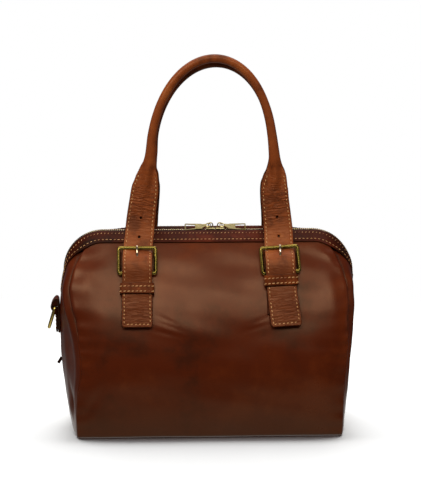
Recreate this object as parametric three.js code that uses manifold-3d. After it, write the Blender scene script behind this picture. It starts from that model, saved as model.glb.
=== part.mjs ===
// A leather handbag with a zipped top, two rolled handles on buckled straps, and a ring tab at each end.
// Millimetres, +Z up. The front faces -Y, and the origin is the middle of the base, on the floor.
import * as THREE from 'three';
import { mergeVertices } from 'three/addons/utils/BufferGeometryUtils.js';
import Module from 'manifold-3d';

const wasm = await Module();
wasm.setup();

// Leather and clearances
const WALL = 2;
const GAP = 0.3;

// Top of the body: a straight zip, rounded corners, and the zip's ends part of the way down each end
const ZIP_HEIGHT = 231;
const CORNER_RADIUS = 46;
const CORNER_X = 123;
const CORNER_HEIGHT = ZIP_HEIGHT - CORNER_RADIUS;
const ZIP_END = 160;
const PANEL_TOP = 221;
const SEAM_TOP = 215;
const SEAM_TOP_X = 143;

// Base
const BASE_THICK = 2.4;
const BASE_LIFT = 0.5; // how far the faces' lower edges rise between the corners

// Share of the half-depth that a face loses at its side seams, little of it at the full lower corners
const EDGE_FALL = 0.12;
const FULL_CORNER = 45;

// Half-depth of the bag along the middle of a face
const FACE_PROFILE = [
  { height: 0, depth: 79 },
  { height: 28, depth: 86 },
  { height: 70, depth: 88 },
  { height: 112, depth: 81 },
  { height: 145, depth: 69.5 },
  { height: 176, depth: 53.5 },
  { height: 200, depth: 38.8 },
  { height: 221, depth: 24 },
];

// How far out the seams between faces and ends lie
const SEAM_PROFILE = [
  { height: 0, left: 153, right: 152.5 },
  { height: 30, left: 154, right: 153.7 },
  { height: 52, left: 152, right: 154.3 },
  { height: 75, left: 148.5, right: 155.3 },
  { height: 100, left: 149.5, right: 157.6 },
  { height: 128, left: 154.3, right: 160.8 },
  { height: 150, left: 160.5, right: 163 },
  { height: 168, left: 163.2, right: 162 },
  { height: 186, left: 160, right: 158 },
  { height: 204, left: 152, right: 151 },
  { height: SEAM_TOP, left: SEAM_TOP_X, right: SEAM_TOP_X },
];

// How far out the ends reach on the middle plane: both bulge, the right one is drawn in behind its ring
const END_PROFILE = [
  { height: 0, left: 160.5, right: 160 },
  { height: 30, left: 165.8, right: 163.5 },
  { height: 60, left: 170.8, right: 167 },
  { height: 82, left: 173.3, right: 168 },
  { height: 103, left: 174.4, right: 164.5 },
  { height: 120, left: 174.8, right: 158.5 },
  { height: 136, left: 174.8, right: 157 },
  { height: 160, left: 173, right: 162 },
  { height: CORNER_HEIGHT, left: CORNER_X + CORNER_RADIUS, right: CORNER_X + CORNER_RADIUS },
];

// Zip: half-widths across it, and levels above the strips' inner edges
const ZIP_SLOT = 6.5;
const BAND_END_HALF = 14;
const BAND_CORNER_HALF = 18;
const STRIP_THICK = 1.8;
const BACK_STRIP_CROWN = 5; // the back strip puffs up above the zip, less towards its corners
const TEETH_HALF = 2.8;
const TEETH_TOP = 0.8;
const TEETH_BOTTOM = -1.6;

// Sliders and pulls
const SLIDERS_MEET = 9;
const SLIDER_LENGTH = 10.6;
const SLIDER_HALF = 5.4;
const SLIDER_TOP = 2.4;
const BAIL_RADIUS = 2.6;
const BAIL_WIRE = 0.7;
const BAIL_LEVEL = 5.4;
const PULL_LENGTH = 30.5;
const PULL_HALF = 4.6;
const PULL_THICK = 1.4;
const PULL_TWIST = Math.PI / 4;

// Straps and their fittings, by the foot on the face and the distance off it
const STRAP_HALF_THICK = 1.6;
const HEEL = { foot: 185.6, off: 4 };
const TOP_BAR = { foot: 209.3, off: 10.6 };
const FRAME_WIDTH = 45.5;
const FRAME_OPENING = 38.5;
const FRAME_BAR = 3;
const CHAPE_HALF = 16.5;
const CHAPE_THICK = 1.6;
const KEEPER_FEET = { left: [163, 175], right: [170.3, 182.3] };
const KEEPER_LENGTH = 12.5;
const KEEPER_INSIDE = 18.1;
const KEEPER_REACH = 3.7;
const KEEPER_THICK = 1.6;
const PRONG_RADIUS = 1.1;

// The stretch of each strap that lies on the face, from its free end up
const STRAP_ON_FACE = [
  { foot: 128.5, off: 4.6, left: -83.6, right: 87.2, half_width: 16.2 },
  { foot: 131.5, off: 4.4, left: -83.6, right: 87, half_width: 17.7 },
  { foot: 150, off: 4.4, left: -83.6, right: 84.9, half_width: 17.7 },
  { foot: 163, off: 4.6, left: -83.5, right: 83.4, half_width: 17.6 },
  { foot: 170.3, off: 5.5, left: -83.5, right: 82.9, half_width: 17.5 },
  { foot: 175, off: 6.4, left: -83.4, right: 82.6, half_width: 17.5 },
  { foot: 182.3, off: 8.9, left: -83.3, right: 82.3, half_width: 17.4 },
  { foot: 185.6, off: 9.9, left: -83.2, right: 82.1, half_width: 17.4 },
  { foot: 198, off: 9.3, left: -83, right: 81.8, half_width: 17.4 },
  { foot: 210, off: 6.4, left: -82.2, right: 81.6, half_width: 17.3 },
];

// The stretch above, where the flat strap narrows into a rolled grip
const STRAP_RISE = [
  { height: 231, depth: 28, left: -80.2, right: 81.5, half_width: 17, half_thick: 1.6, square: 5 },
  { height: 248, depth: 22.5, left: -78.4, right: 80.2, half_width: 16.7, half_thick: 1.6, square: 5 },
  { height: 269, depth: 18.5, left: -75.3, right: 78.1, half_width: 16.3, half_thick: 1.7, square: 4.5 },
  { height: 282, depth: 17, left: -73.4, right: 77.6, half_width: 15.8, half_thick: 2, square: 4 },
  { height: 289, depth: 16.4, left: -72.2, right: 78.3, half_width: 14.3, half_thick: 2.5, square: 3 },
  { height: 297, depth: 15.7, left: -70.4, right: 78.8, half_width: 11.7, half_thick: 3.2, square: 2.5 },
  { height: 304, depth: 15.2, left: -68.5, right: 78.5, half_width: 9.2, half_thick: 4, square: 2.2 },
  { height: 312, depth: 14.6, left: -66.6, right: 77.8, half_width: 6.4, half_thick: 4.7, square: 2 },
];
const GRIP_RADIUS = 5;
const SWAY_FROM = 231;
const SWAY_TO = 290;
const GRIP_FOOT = 322;
const GRIP_SPREAD = 71.6;
const GRIP_MIDDLE = 2.3;
const GRIP_FOOT_SHIFT = { left: 3.7, right: 3 }; // both feet stand to the right of the arch
const GRIP_FOOT_DEPTH = 14;
const GRIP_TOP_DEPTH = 8;
const HOLE_HEIGHTS = [226.5, 248];
const HOLE_RADIUS = 1.3;

// The two grips: the back one droops a little, and its straps sway to the right below it
const HANDLES = [
  { name: 'front', side: -1, rise: 110, lean: 5.5, shift: 0, sway: 0 },
  { name: 'back', side: 1, rise: 106.5, lean: 5.5, shift: -0.5, sway: 5 },
];

// Ring tabs and rings, on the ends' middle lines
const TAB_FOOT = 111;
const TAB_TOP = 148.3;
const TAB_HALF = 12;
const TAB_THICK = 2.2;
const TAB_LOOP = 3.7;
const RING_HEIGHT = 140.6;
const RING_OUT = 5.4;
const RING_WIRE = 1.75;
const RING_HALF = 14.6;
const RING_DROP = 26;
const RING_TILT = { left: 0.3, right: 0.16 };

// Small leather tip on the left end
const TONGUE = { height: 77, y: 2, half: 4, length: 7.5, thick: 1.8, lift: 0.75 };

const LEATHER = { color: 0x5d3627, roughness: 0.42, metalness: 0 };
const STRAP_LEATHER = { color: 0x7a4c38, roughness: 0.45, metalness: 0 };
const DARK_LEATHER = { color: 0x3a2119, roughness: 0.5, metalness: 0 };
const BRASS = { color: 0xa08452, roughness: 0.32, metalness: 1 };
const TAPE = { color: 0x2e1d17, roughness: 0.9, metalness: 0 };

const ENDS = [{ name: 'left', way: -1 }, { name: 'right', way: 1 }];
const SIDES = [{ name: 'front', side: -1 }, { name: 'back', side: 1 }];

const V = (x, y, z) => new THREE.Vector3(x, y, z);
const steps = (from, to, count) =>
  Array.from({ length: count + 1 }, (_, i) => from + ((to - from) * i) / count);

// A smooth curve through the rows' values, against their heights.
function through(rows, column) {
  const last = rows.length - 1;
  const slope = rows.map((_, i) => {
    const below = rows[Math.max(i - 1, 0)];
    const above = rows[Math.min(i + 1, last)];
    return (above[column] - below[column]) / (above.height - below.height);
  });
  return (height) => {
    let i = 0;
    while (i < last - 1 && height > rows[i + 1].height) i += 1;
    const span = rows[i + 1].height - rows[i].height;
    const t = THREE.MathUtils.clamp((height - rows[i].height) / span, 0, 1);
    const rest = 1 - t;
    return (1 + 2 * t) * rest * rest * rows[i][column] + t * rest * rest * span * slope[i]
      + t * t * (3 - 2 * t) * rows[i + 1][column] - t * t * rest * span * slope[i + 1];
  };
}

const middleDepth = through(FACE_PROFILE, 'depth');
const seamOut = { left: through(SEAM_PROFILE, 'left'), right: through(SEAM_PROFILE, 'right') };
const endOut = { left: through(END_PROFILE, 'left'), right: through(END_PROFILE, 'right') };

const edgeFall = (height) => EDGE_FALL * (0.25 + 0.75 * THREE.MathUtils.smoothstep(height, 0, FULL_CORNER));

// Half-depth of a face at any place on it.
function faceDepth(x, height) {
  const seam = x < 0 ? seamOut.left(height) : seamOut.right(height);
  return middleDepth(height) * (1 - edgeFall(height) * Math.min(1, Math.abs(x) / seam) ** 7);
}

const seamDepth = (height) => middleDepth(height) * (1 - edgeFall(height));

// How far out an end reaches at any place on it.
function endReach(end, y, height) {
  const over = height - CORNER_HEIGHT;
  const middle = over > 0
    ? CORNER_X + Math.sqrt(Math.max(0, CORNER_RADIUS ** 2 - over ** 2))
    : endOut[end](height);
  const seam = seamOut[end](height);
  return seam + (middle - seam) * (1 - Math.min(1, Math.abs(y) / seamDepth(height)) ** 2);
}

// Upper edge of a face: level, then round the corners beside the zip band.
function faceTop(x) {
  const over = Math.max(0, Math.abs(x) - CORNER_X);
  const radius = CORNER_RADIUS - (ZIP_HEIGHT - PANEL_TOP);
  return CORNER_HEIGHT + Math.sqrt(radius ** 2 - over ** 2);
}

// From a point on the outside of the body to the same point on its inside.
function inward(p) {
  const seam = p.x < 0 ? seamOut.left(p.z) : seamOut.right(p.z);
  const endShare = Math.min(1, Math.abs(p.x) / seam) ** 6;
  const faceShare = Math.min(1, Math.abs(p.y) / seamDepth(p.z)) ** 3;
  const lean = 0.7 * THREE.MathUtils.smoothstep(p.z, 130, PANEL_TOP);
  return V(
    -Math.sign(p.x) * endShare,
    -Math.sign(p.y) * faceShare * Math.cos(lean),
    -Math.sin(lean) * Math.max(faceShare, 0.3),
  ).multiplyScalar(WALL);
}

// A closed body from points and triangles, with its faces turned outwards.
function closed(points, triangles) {
  let volume = 0;
  for (const [a, b, c] of triangles) {
    volume += points[a].dot(V().crossVectors(points[b], points[c]));
  }
  const faces = volume < 0 ? triangles.map(([a, b, c]) => [a, c, b]) : triangles;
  const geometry = new THREE.BufferGeometry().setFromPoints(points);
  geometry.setIndex(faces.flat());
  geometry.computeVertexNormals();
  return geometry;
}

// A sheet of leather between its outside and inside, each a grid of points.
function sheet(outside, inside) {
  const rows = outside.length;
  const columns = outside[0].length;
  const points = [...outside.flat(), ...inside.flat()];
  const at = (layer, i, j) => (layer * rows + i) * columns + j;
  const triangles = [];
  const quad = (a, b, c, d) => triangles.push([a, b, c], [a, c, d]);
  for (let i = 0; i < rows - 1; i += 1) {
    for (let j = 0; j < columns - 1; j += 1) {
      quad(at(0, i, j), at(0, i, j + 1), at(0, i + 1, j + 1), at(0, i + 1, j));
      quad(at(1, i, j), at(1, i + 1, j), at(1, i + 1, j + 1), at(1, i, j + 1));
    }
    quad(at(0, i + 1, 0), at(1, i + 1, 0), at(1, i, 0), at(0, i, 0));
    quad(at(0, i, columns - 1), at(1, i, columns - 1), at(1, i + 1, columns - 1), at(0, i + 1, columns - 1));
  }
  for (let j = 0; j < columns - 1; j += 1) {
    quad(at(0, 0, j), at(1, 0, j), at(1, 0, j + 1), at(0, 0, j + 1));
    quad(at(0, rows - 1, j + 1), at(1, rows - 1, j + 1), at(1, rows - 1, j), at(0, rows - 1, j));
  }
  return closed(points, triangles);
}

// A bar through a row of rings of points, with flat ends.
function loft(rings) {
  const count = rings[0].length;
  const last = (rings.length - 1) * count;
  const triangles = [];
  for (let i = 0; i < rings.length - 1; i += 1) {
    for (let j = 0; j < count; j += 1) {
      const next = (j + 1) % count;
      const [a, b] = [i * count + j, i * count + next];
      triangles.push([a, b, b + count], [a, b + count, a + count]);
    }
  }
  for (let j = 1; j < count - 1; j += 1) {
    triangles.push([0, j + 1, j], [last, last + j, last + j + 1]);
  }
  return closed(rings.flat(), triangles);
}

// A geometry as a solid for joining and cutting, and back.
function solid(geometry) {
  const bare = new THREE.BufferGeometry().setAttribute('position', geometry.getAttribute('position').clone());
  bare.setIndex(geometry.index);
  const merged = mergeVertices(bare, 1e-4);
  return new wasm.Manifold(new wasm.Mesh({
    numProp: 3,
    vertProperties: new Float32Array(merged.getAttribute('position').array),
    triVerts: new Uint32Array(merged.index.array),
  }));
}

function fromSolid(made) {
  const { vertProperties, triVerts } = made.getMesh();
  const geometry = new THREE.BufferGeometry();
  geometry.setAttribute('position', new THREE.BufferAttribute(new Float32Array(vertProperties), 3));
  geometry.setIndex([...triVerts]);
  geometry.computeVertexNormals();
  return geometry;
}

const bag = new THREE.Group();

function piece(name, geometry, material) {
  const mesh = new THREE.Mesh(geometry, new THREE.MeshStandardMaterial(material));
  mesh.name = name;
  bag.add(mesh);
  return mesh;
}

// Front and back faces.
function face(side) {
  const inset = 0.2 / SEAM_TOP_X;
  const outside = steps(0, 1, 11).map((v) => steps(-1 + inset, 1 - inset, 14).map((u) => {
    const level = v * SEAM_TOP;
    const x = u * (u < 0 ? seamOut.left(level) : seamOut.right(level));
    const foot = BASE_LIFT * (1 - u ** 4) * (1 - v) ** 2;
    const head = (faceTop(u * SEAM_TOP_X) - faceTop(SEAM_TOP_X)) * v ** 3;
    const height = level + foot + head;
    return V(x, side * faceDepth(x, height), height);
  }));
  return sheet(outside, outside.map((row) => row.map((p) => p.clone().add(inward(p)))));
}

// Half-width of the zip band where it runs down an end.
function bandHalf(height) {
  return height < CORNER_HEIGHT
    ? THREE.MathUtils.mapLinear(height, ZIP_END, CORNER_HEIGHT, BAND_END_HALF, BAND_CORNER_HALF)
    : THREE.MathUtils.mapLinear(height, CORNER_HEIGHT, SEAM_TOP, BAND_CORNER_HALF, seamDepth(SEAM_TOP));
}

// An end: between the two seams, with a notch at its top for the zip band.
function gusset({ name, way }) {
  const notch = 0.4;
  const across = [...steps(-1, -notch, 4), ...steps(-notch, notch, 4).slice(1, -1), ...steps(notch, 1, 4)];
  const outside = steps(0, 1, 11).map((v) => across.map((u) => {
    const beside = Math.max(0, (Math.abs(u) - notch) / (1 - notch));
    const top = THREE.MathUtils.lerp(ZIP_END - 2 * GAP, SEAM_TOP, beside);
    const topY = beside > 0 ? Math.sign(u) * bandHalf(top) : (u / notch) * BAND_END_HALF;
    const height = v * top;
    const bow = seamDepth(v * SEAM_TOP) - THREE.MathUtils.lerp(seamDepth(0), seamDepth(SEAM_TOP), v);
    const free = THREE.MathUtils.lerp(u * seamDepth(0), topY, v) + Math.sign(u) * Math.abs(u) ** 3 * bow;
    const y = free - Math.sign(u) * Math.abs(u) ** 9 * GAP;
    return V(way * endReach(name, y, height), y, height);
  }));
  return sheet(outside, outside.map((row) => row.map((p) => p.clone().add(inward(p)))));
}

// Flat base inside the walls.
function base() {
  const inset = WALL + 4 * GAP;
  const outline = new THREE.Shape();
  const along = [-144, -125, -100, 100, 125, 143.5];
  const across = steps(-1, 1, 6).map((u) => u * (seamDepth(0) - inset));
  const points = [
    ...along.map((x) => new THREE.Vector2(x, -faceDepth(x, 0) + inset)),
    ...across.map((y) => new THREE.Vector2(endReach('right', y, 0) - inset, y)),
    ...along.toReversed().map((x) => new THREE.Vector2(x, faceDepth(x, 0) - inset)),
    ...across.toReversed().map((y) => new THREE.Vector2(-endReach('left', y, 0) + inset, y)),
  ];
  outline.setFromPoints(points);
  return new THREE.ExtrudeGeometry(outline, { depth: BASE_THICK, bevelEnabled: false });
}

// Stations along the zip band: the middle of the zip, the way out from it, and the band's outer edge.
function bandEnd({ name, way }) {
  const onEnd = (height) => {
    const y = bandHalf(height);
    return V(way * endReach(name, y, height), y, height);
  };
  const tail = [ZIP_END, 172].map((height) => ({
    crest: V(way * endReach(name, 0, height), 0, height),
    out: V(way, 0, 0),
    edge: onEnd(height),
  }));
  const corner = steps(0, Math.PI / 2, 6).map((angle, i) => {
    const out = V(way * Math.cos(angle), 0, Math.sin(angle));
    const x = way * THREE.MathUtils.mapLinear(i, 3, 6, SEAM_TOP_X, CORNER_X);
    return {
      crest: V(way * CORNER_X, 0, CORNER_HEIGHT).addScaledVector(out, CORNER_RADIUS),
      out,
      edge: i < 3
        ? onEnd(THREE.MathUtils.mapLinear(i, 0, 3, CORNER_HEIGHT, SEAM_TOP))
        : V(x, faceDepth(x, faceTop(x)), faceTop(x)),
    };
  });
  return [...tail, ...corner];
}

const straight = steps(-CORNER_X, CORNER_X, 8).slice(1, -1).map((x) => ({
  crest: V(x, 0, ZIP_HEIGHT),
  out: V(0, 0, 1),
  edge: V(x, faceDepth(x, PANEL_TOP), PANEL_TOP),
}));
const BAND = [...bandEnd(ENDS[0]), ...straight, ...bandEnd(ENDS[1]).toReversed()];

// Leather strip from the zip to the band's outer edge, rounding over as it goes.
function zipStrip(side) {
  const turned = (p) => V(p.x, side * p.y, p.z);
  const crown = side > 0 ? BACK_STRIP_CROWN : 0;
  const outside = [];
  const inside = [];
  for (const { crest, out, edge } of BAND) {
    const width = edge.y - ZIP_SLOT;
    const shares = steps(0, 1 - 0.4 / width, 4);
    const deep = inward(edge).multiplyScalar(STRIP_THICK / WALL);
    const shallow = out.clone().multiplyScalar(-STRIP_THICK);
    const row = shares.map((share) => {
      const p = crest.clone().lerp(edge, share ** 1.6);
      p.y = ZIP_SLOT + width * share;
      p.z += crown * (1 - 0.8 * THREE.MathUtils.smoothstep(Math.abs(crest.x), 80, 125))
        * Math.max(0, out.z) * Math.sin(Math.PI * share);
      return p;
    });
    outside.push(row.map(turned));
    inside.push(row.map((p, i) => turned(p.clone().add(shallow.clone().lerp(deep, shares[i] ** 2)))));
  }
  return sheet(outside, inside);
}

// A bar of constant section along the zip; the section gives distances across it and levels above it.
function alongZip(section) {
  return loft(BAND.map(({ crest, out }) =>
    section.map(([across, level]) => crest.clone().addScaledVector(out, level).add(V(0, across, 0)))));
}

// Slider: a saddle over the teeth with a stilted bail for the pull.
function slider() {
  const saddle = new THREE.Shape();
  const flange = TEETH_HALF + GAP;
  const under = TEETH_TOP + GAP;
  saddle.moveTo(-SLIDER_HALF, 0.3);
  saddle.lineTo(-flange, 0.3);
  saddle.lineTo(-flange, under);
  saddle.lineTo(flange, under);
  saddle.lineTo(flange, 0.3);
  saddle.lineTo(SLIDER_HALF, 0.3);
  saddle.lineTo(SLIDER_HALF, SLIDER_TOP - 0.8);
  saddle.lineTo(SLIDER_HALF - 1.2, SLIDER_TOP);
  saddle.lineTo(1.2 - SLIDER_HALF, SLIDER_TOP);
  saddle.lineTo(-SLIDER_HALF, SLIDER_TOP - 0.8);
  const plate = new THREE.ExtrudeGeometry(saddle, { depth: SLIDER_LENGTH, bevelEnabled: false });
  plate.applyMatrix4(new THREE.Matrix4().makeBasis(V(0, 1, 0), V(0, 0, 1), V(1, 0, 0)));
  plate.translate(-SLIDER_LENGTH / 2, 0, 0);

  const sunk = SLIDER_TOP - 0.6;
  const bail = [
    V(-BAIL_RADIUS, 0, sunk),
    ...steps(Math.PI, 0, 8).map((a) =>
      V(BAIL_RADIUS * Math.cos(a), 0, BAIL_LEVEL + BAIL_RADIUS * Math.sin(a))),
    V(BAIL_RADIUS, 0, sunk),
  ];
  const wire = loft(bail.map((p, i) => {
    const ahead = bail[Math.min(i + 1, bail.length - 1)];
    const behind = bail[Math.max(i - 1, 0)];
    const along = ahead.clone().sub(behind).normalize();
    const out = V(0, 1, 0).cross(along);
    return steps(0, 2 * Math.PI, 6).slice(1).map((a) =>
      p.clone().addScaledVector(out, BAIL_WIRE * Math.cos(a)).add(V(0, BAIL_WIRE * Math.sin(a), 0)));
  }));
  return fromSolid(solid(plate).add(solid(wire)));
}

// Pull: an eye, a neck and a plate with a window, drawn from the hinge axis outwards.
function pull() {
  const eye = 3;
  const outline = new THREE.Shape();
  outline.absarc(BAIL_RADIUS, 0, eye, 0.7, 2 * Math.PI - 0.7, false);
  outline.lineTo(7, -1.8);
  outline.lineTo(11, -PULL_HALF);
  outline.lineTo(PULL_LENGTH - 1.5, -PULL_HALF);
  outline.lineTo(PULL_LENGTH, 1.5 - PULL_HALF);
  outline.lineTo(PULL_LENGTH, PULL_HALF - 1.5);
  outline.lineTo(PULL_LENGTH - 1.5, PULL_HALF);
  outline.lineTo(11, PULL_HALF);
  outline.lineTo(7, 1.8);
  const hole = new THREE.Path();
  hole.absarc(BAIL_RADIUS, 0, 1.9, 0, 2 * Math.PI, true);
  const window = new THREE.Path();
  window.setFromPoints([[17.5, -2.3], [17.5, 2.3], [27.5, 2.3], [27.5, -2.3]]
    .map(([x, y]) => new THREE.Vector2(x, y)));
  outline.holes.push(hole, window);
  const plate = new THREE.ExtrudeGeometry(outline, { depth: PULL_THICK, bevelEnabled: false, curveSegments: 6 });
  return plate.translate(0, 0, -PULL_THICK / 2);
}

// A point given by its foot on a face and its distance off the face.
function offFace(x, { foot, off }, side) {
  const slope = (middleDepth(foot + 1) - middleDepth(foot - 1)) / 2;
  const lean = Math.hypot(1, slope);
  return V(x, side * (faceDepth(x, foot) + off / lean), foot - (off * slope) / lean);
}

// Directions on a face at a height: out from it, and up along it.
function faceFrame(foot, side) {
  const up = V(0, side * (middleDepth(foot + 1) - middleDepth(foot - 1)), 2).normalize();
  const out = V(0, side * up.z, -side * up.y);
  return { up, out };
}

// Stations of a handle from one free end over the top to the other.
function handlePath({ side, rise, lean, shift, sway }) {
  const leg = (end) => [
    ...STRAP_ON_FACE.map((row) => ({
      at: offFace(row[end], row, side),
      half_width: row.half_width,
      half_thick: STRAP_HALF_THICK,
      square: 5,
    })),
    ...STRAP_RISE.map((row) => {
      const up = (row.height - STRAP_RISE[0].height) / (GRIP_FOOT - STRAP_RISE[0].height);
      const t = Math.min(1, (row.height - SWAY_FROM) / (SWAY_TO - SWAY_FROM));
      const x = row[end] + shift * up + 4 * sway * t * (1 - t);
      return { ...row, at: V(x, side * row.depth, row.height) };
    }),
  ];
  const grip = steps(Math.PI, 0, 16).map((angle) => {
    const up = Math.sin(angle);
    const foot = angle > Math.PI / 2
      ? GRIP_FOOT_SHIFT.left * (1 - up)
      : GRIP_FOOT_SHIFT.right * (1 - up) ** 6;
    const x = GRIP_MIDDLE + shift + lean * up + GRIP_SPREAD * Math.cos(angle) + foot;
    const depth = THREE.MathUtils.lerp(GRIP_FOOT_DEPTH, GRIP_TOP_DEPTH, up);
    return {
      at: V(x, side * depth, GRIP_FOOT + rise * up),
      half_width: GRIP_RADIUS,
      half_thick: GRIP_RADIUS,
      square: 2,
    };
  });
  return [...leg('left'), ...grip, ...leg('right').toReversed()];
}

const rounded = (value, square) => Math.sign(value) * Math.abs(value) ** (2 / square);

// A round bar along a curve.
function rod(curve, radius, count) {
  const section = new THREE.Shape();
  section.absarc(0, 0, radius, 0, 2 * Math.PI, false);
  return new THREE.ExtrudeGeometry(section, { extrudePath: curve, steps: count, curveSegments: 3 });
}

// The prong's path: from the heel bar up through the strap and over the top bar.
function prongPath(x, side) {
  return new THREE.CatmullRomCurve3([
    { foot: 188.2, off: 5 },
    { foot: 194.5, off: 5.8 },
    { foot: 200, off: 8 },
    { foot: 204, off: 11.3 },
    { foot: 207.3, off: 13.6 },
    { foot: 211.6, off: 13.2 },
  ].map((row) => offFace(x, row, side)));
}

// A handle: section swept along its stations, with the punched holes and the prongs' holes.
function handle(shape) {
  const path = handlePath(shape);
  const rings = path.map(({ at, half_width, half_thick, square }, i) => {
    const ahead = path[Math.min(i + 1, path.length - 1)].at;
    const behind = path[Math.max(i - 1, 0)].at;
    const along = ahead.clone().sub(behind).normalize();
    const wide = along.clone().cross(V(0, 1, 0)).normalize();
    const out = wide.clone().cross(along);
    return steps(Math.PI / 8, 2.125 * Math.PI, 8).slice(1).map((a) => at.clone()
      .addScaledVector(wide, half_width * rounded(Math.cos(a), square))
      .addScaledVector(out, half_thick * rounded(Math.sin(a), square)));
  });
  let made = solid(loft(rings));
  for (const { name } of ENDS) {
    const prong = prongPath(fittingX(name), shape.side);
    made = made.subtract(solid(rod(prong, PRONG_RADIUS + 0.4, 8)));
    for (const height of HOLE_HEIGHTS) {
      const leg = path.filter(({ at }) => Math.sign(at.x) === (name === 'left' ? -1 : 1));
      const near = leg.toSorted((a, b) => Math.abs(a.at.z - height) - Math.abs(b.at.z - height));
      const [a, b] = [near[0].at, near[1].at];
      const middle = a.clone().lerp(b, (height - a.z) / (b.z - a.z));
      const punch = new THREE.CylinderGeometry(HOLE_RADIUS, HOLE_RADIUS, 12, 8);
      punch.translate(middle.x, middle.y, middle.z);
      made = made.subtract(solid(punch));
    }
  }
  return fromSolid(made);
}

// Where a fitting sits across the face.
function fittingX(end) {
  return STRAP_ON_FACE.find((row) => row.foot === HEEL.foot)[end];
}

// A doubled strip of leather from its centre line, as a closed outline.
function doubled(line, thick) {
  const edge = (way) => line.map((p, i) => {
    const ahead = line[Math.min(i + 1, line.length - 1)];
    const behind = line[Math.max(i - 1, 0)];
    const along = ahead.clone().sub(behind).normalize();
    return new THREE.Vector2(p.x - way * along.y * thick / 2, p.y + way * along.x * thick / 2);
  });
  return new THREE.Shape([...edge(1), ...edge(-1).toReversed()]);
}

// Extrudes an outline drawn in depth and height across the bag, centred on x.
function acrossBag(outline, half, x, side) {
  const made = new THREE.ExtrudeGeometry(outline, { depth: 2 * half, bevelEnabled: false });
  made.applyMatrix4(new THREE.Matrix4().makeBasis(V(0, side, 0), V(0, 0, 1), V(side, 0, 0)));
  return made.translate(x - side * half, 0, 0);
}

// Chape: lies on the face under the strap, turns round the heel bar and comes back down.
function chape(x, side) {
  const flat = (row) => {
    const p = offFace(x, row, side);
    return new THREE.Vector2(Math.abs(p.y), p.z);
  };
  const heel = flat(HEEL);
  const { up, out } = faceFrame(HEEL.foot, side);
  const turn = 2.2 + CHAPE_THICK / 2;
  const loop = steps(-0.2 * Math.PI, 1.1 * Math.PI, 9).map((a) => {
    const [rise, reach] = [turn * Math.sin(a), -turn * Math.cos(a)];
    return new THREE.Vector2(
      heel.x + reach * Math.abs(out.y) - rise * Math.abs(up.y),
      heel.y + reach * out.z + rise * up.z,
    );
  });
  const inner = GAP + CHAPE_THICK / 2;
  const line = [
    ...[142, 152, 162, 172, 179].map((foot) => flat({ foot, off: inner })),
    ...loop,
    flat({ foot: 180.5, off: inner + CHAPE_THICK + GAP }),
    flat({ foot: 176.5, off: inner + CHAPE_THICK + GAP }),
  ];
  const strip = acrossBag(doubled(line, CHAPE_THICK), CHAPE_HALF, x, side);
  const slot = new THREE.BoxGeometry(4.4, 20, 9.4);
  const from = offFace(x, { foot: 188.4, off: 8 }, side);
  slot.translate(from.x, from.y, from.z);
  return fromSolid(solid(strip).subtract(solid(slot)));
}

// A rectangle with rounded corners, centred on the origin.
function roundRect(path, width, height, radius) {
  const [x, y] = [width / 2 - radius, height / 2 - radius];
  path.absarc(x, y, radius, 0, Math.PI / 2, false);
  path.absarc(-x, y, radius, Math.PI / 2, Math.PI, false);
  path.absarc(-x, -y, radius, Math.PI, 1.5 * Math.PI, false);
  path.absarc(x, -y, radius, 1.5 * Math.PI, 2 * Math.PI, false);
  path.closePath();
  return path;
}

// Square buckle frame: its heel bar lies behind the strap and its top bar in front.
function buckleFrame(x, side) {
  const heel = offFace(x, HEEL, side);
  const top = offFace(x, TOP_BAR, side);
  const height = heel.distanceTo(top) + FRAME_BAR;
  const bevel = 0.7;
  const outline = roundRect(new THREE.Shape(), FRAME_WIDTH - 2 * bevel, height - 2 * bevel, 3);
  outline.holes.push(
    roundRect(new THREE.Path(), FRAME_OPENING + 2 * bevel, height - 2 * FRAME_BAR + 2 * bevel, 1.2));
  const depth = FRAME_BAR - 2 * bevel;
  const made = new THREE.ExtrudeGeometry(outline, {
    depth, bevelThickness: bevel, bevelSize: bevel, bevelSegments: 1, curveSegments: 1,
  });
  made.translate(0, 0, -depth / 2);
  const up = top.clone().sub(heel).normalize();
  const across = V(1, 0, 0);
  const frame = new THREE.Matrix4().makeBasis(across, up, across.clone().cross(up));
  return { made, frame: frame.setPosition(heel.lerp(top, 0.5)) };
}

// Keeper: a band over the strap whose ends reach down beside it to the face.
function keeper(end, side) {
  const [low, high] = KEEPER_FEET[end].map((foot) => {
    const row = STRAP_ON_FACE.find((station) => station.foot === foot);
    return offFace(row[end], row, side);
  });
  const [inside, outside] = [KEEPER_INSIDE, KEEPER_INSIDE + KEEPER_THICK];
  const [foot, under] = [-KEEPER_REACH, STRAP_HALF_THICK + 2 * GAP];
  const over = under + KEEPER_THICK;
  const outline = new THREE.Shape([
    [-outside, foot], [-inside, foot], [-inside, under - 0.8], [-inside + 0.8, under],
    [inside - 0.8, under], [inside, under - 0.8], [inside, foot], [outside, foot],
    [outside, over - 2], [outside - 0.6, over - 0.6], [outside - 2, over],
    [2 - outside, over], [0.6 - outside, over - 0.6], [-outside, over - 2],
  ].map(([a, b]) => new THREE.Vector2(a, b)));
  const made = new THREE.ExtrudeGeometry(outline, { depth: KEEPER_LENGTH, bevelEnabled: false });
  made.translate(0, 0, -KEEPER_LENGTH / 2);
  const along = high.clone().sub(low).normalize();
  const across = V(0, side, 0).cross(along).normalize();
  const out = along.clone().cross(across);
  const frame = new THREE.Matrix4().makeBasis(across, out, across.clone().cross(out));
  return { made, frame: frame.setPosition(low.lerp(high, 0.5)) };
}

// How far out the end lies where a tab's loop starts.
const tabStart = (end) => Math.max(endReach(end, 0, RING_HEIGHT), endReach(end, 0, TAB_TOP + TAB_LOOP));

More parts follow.
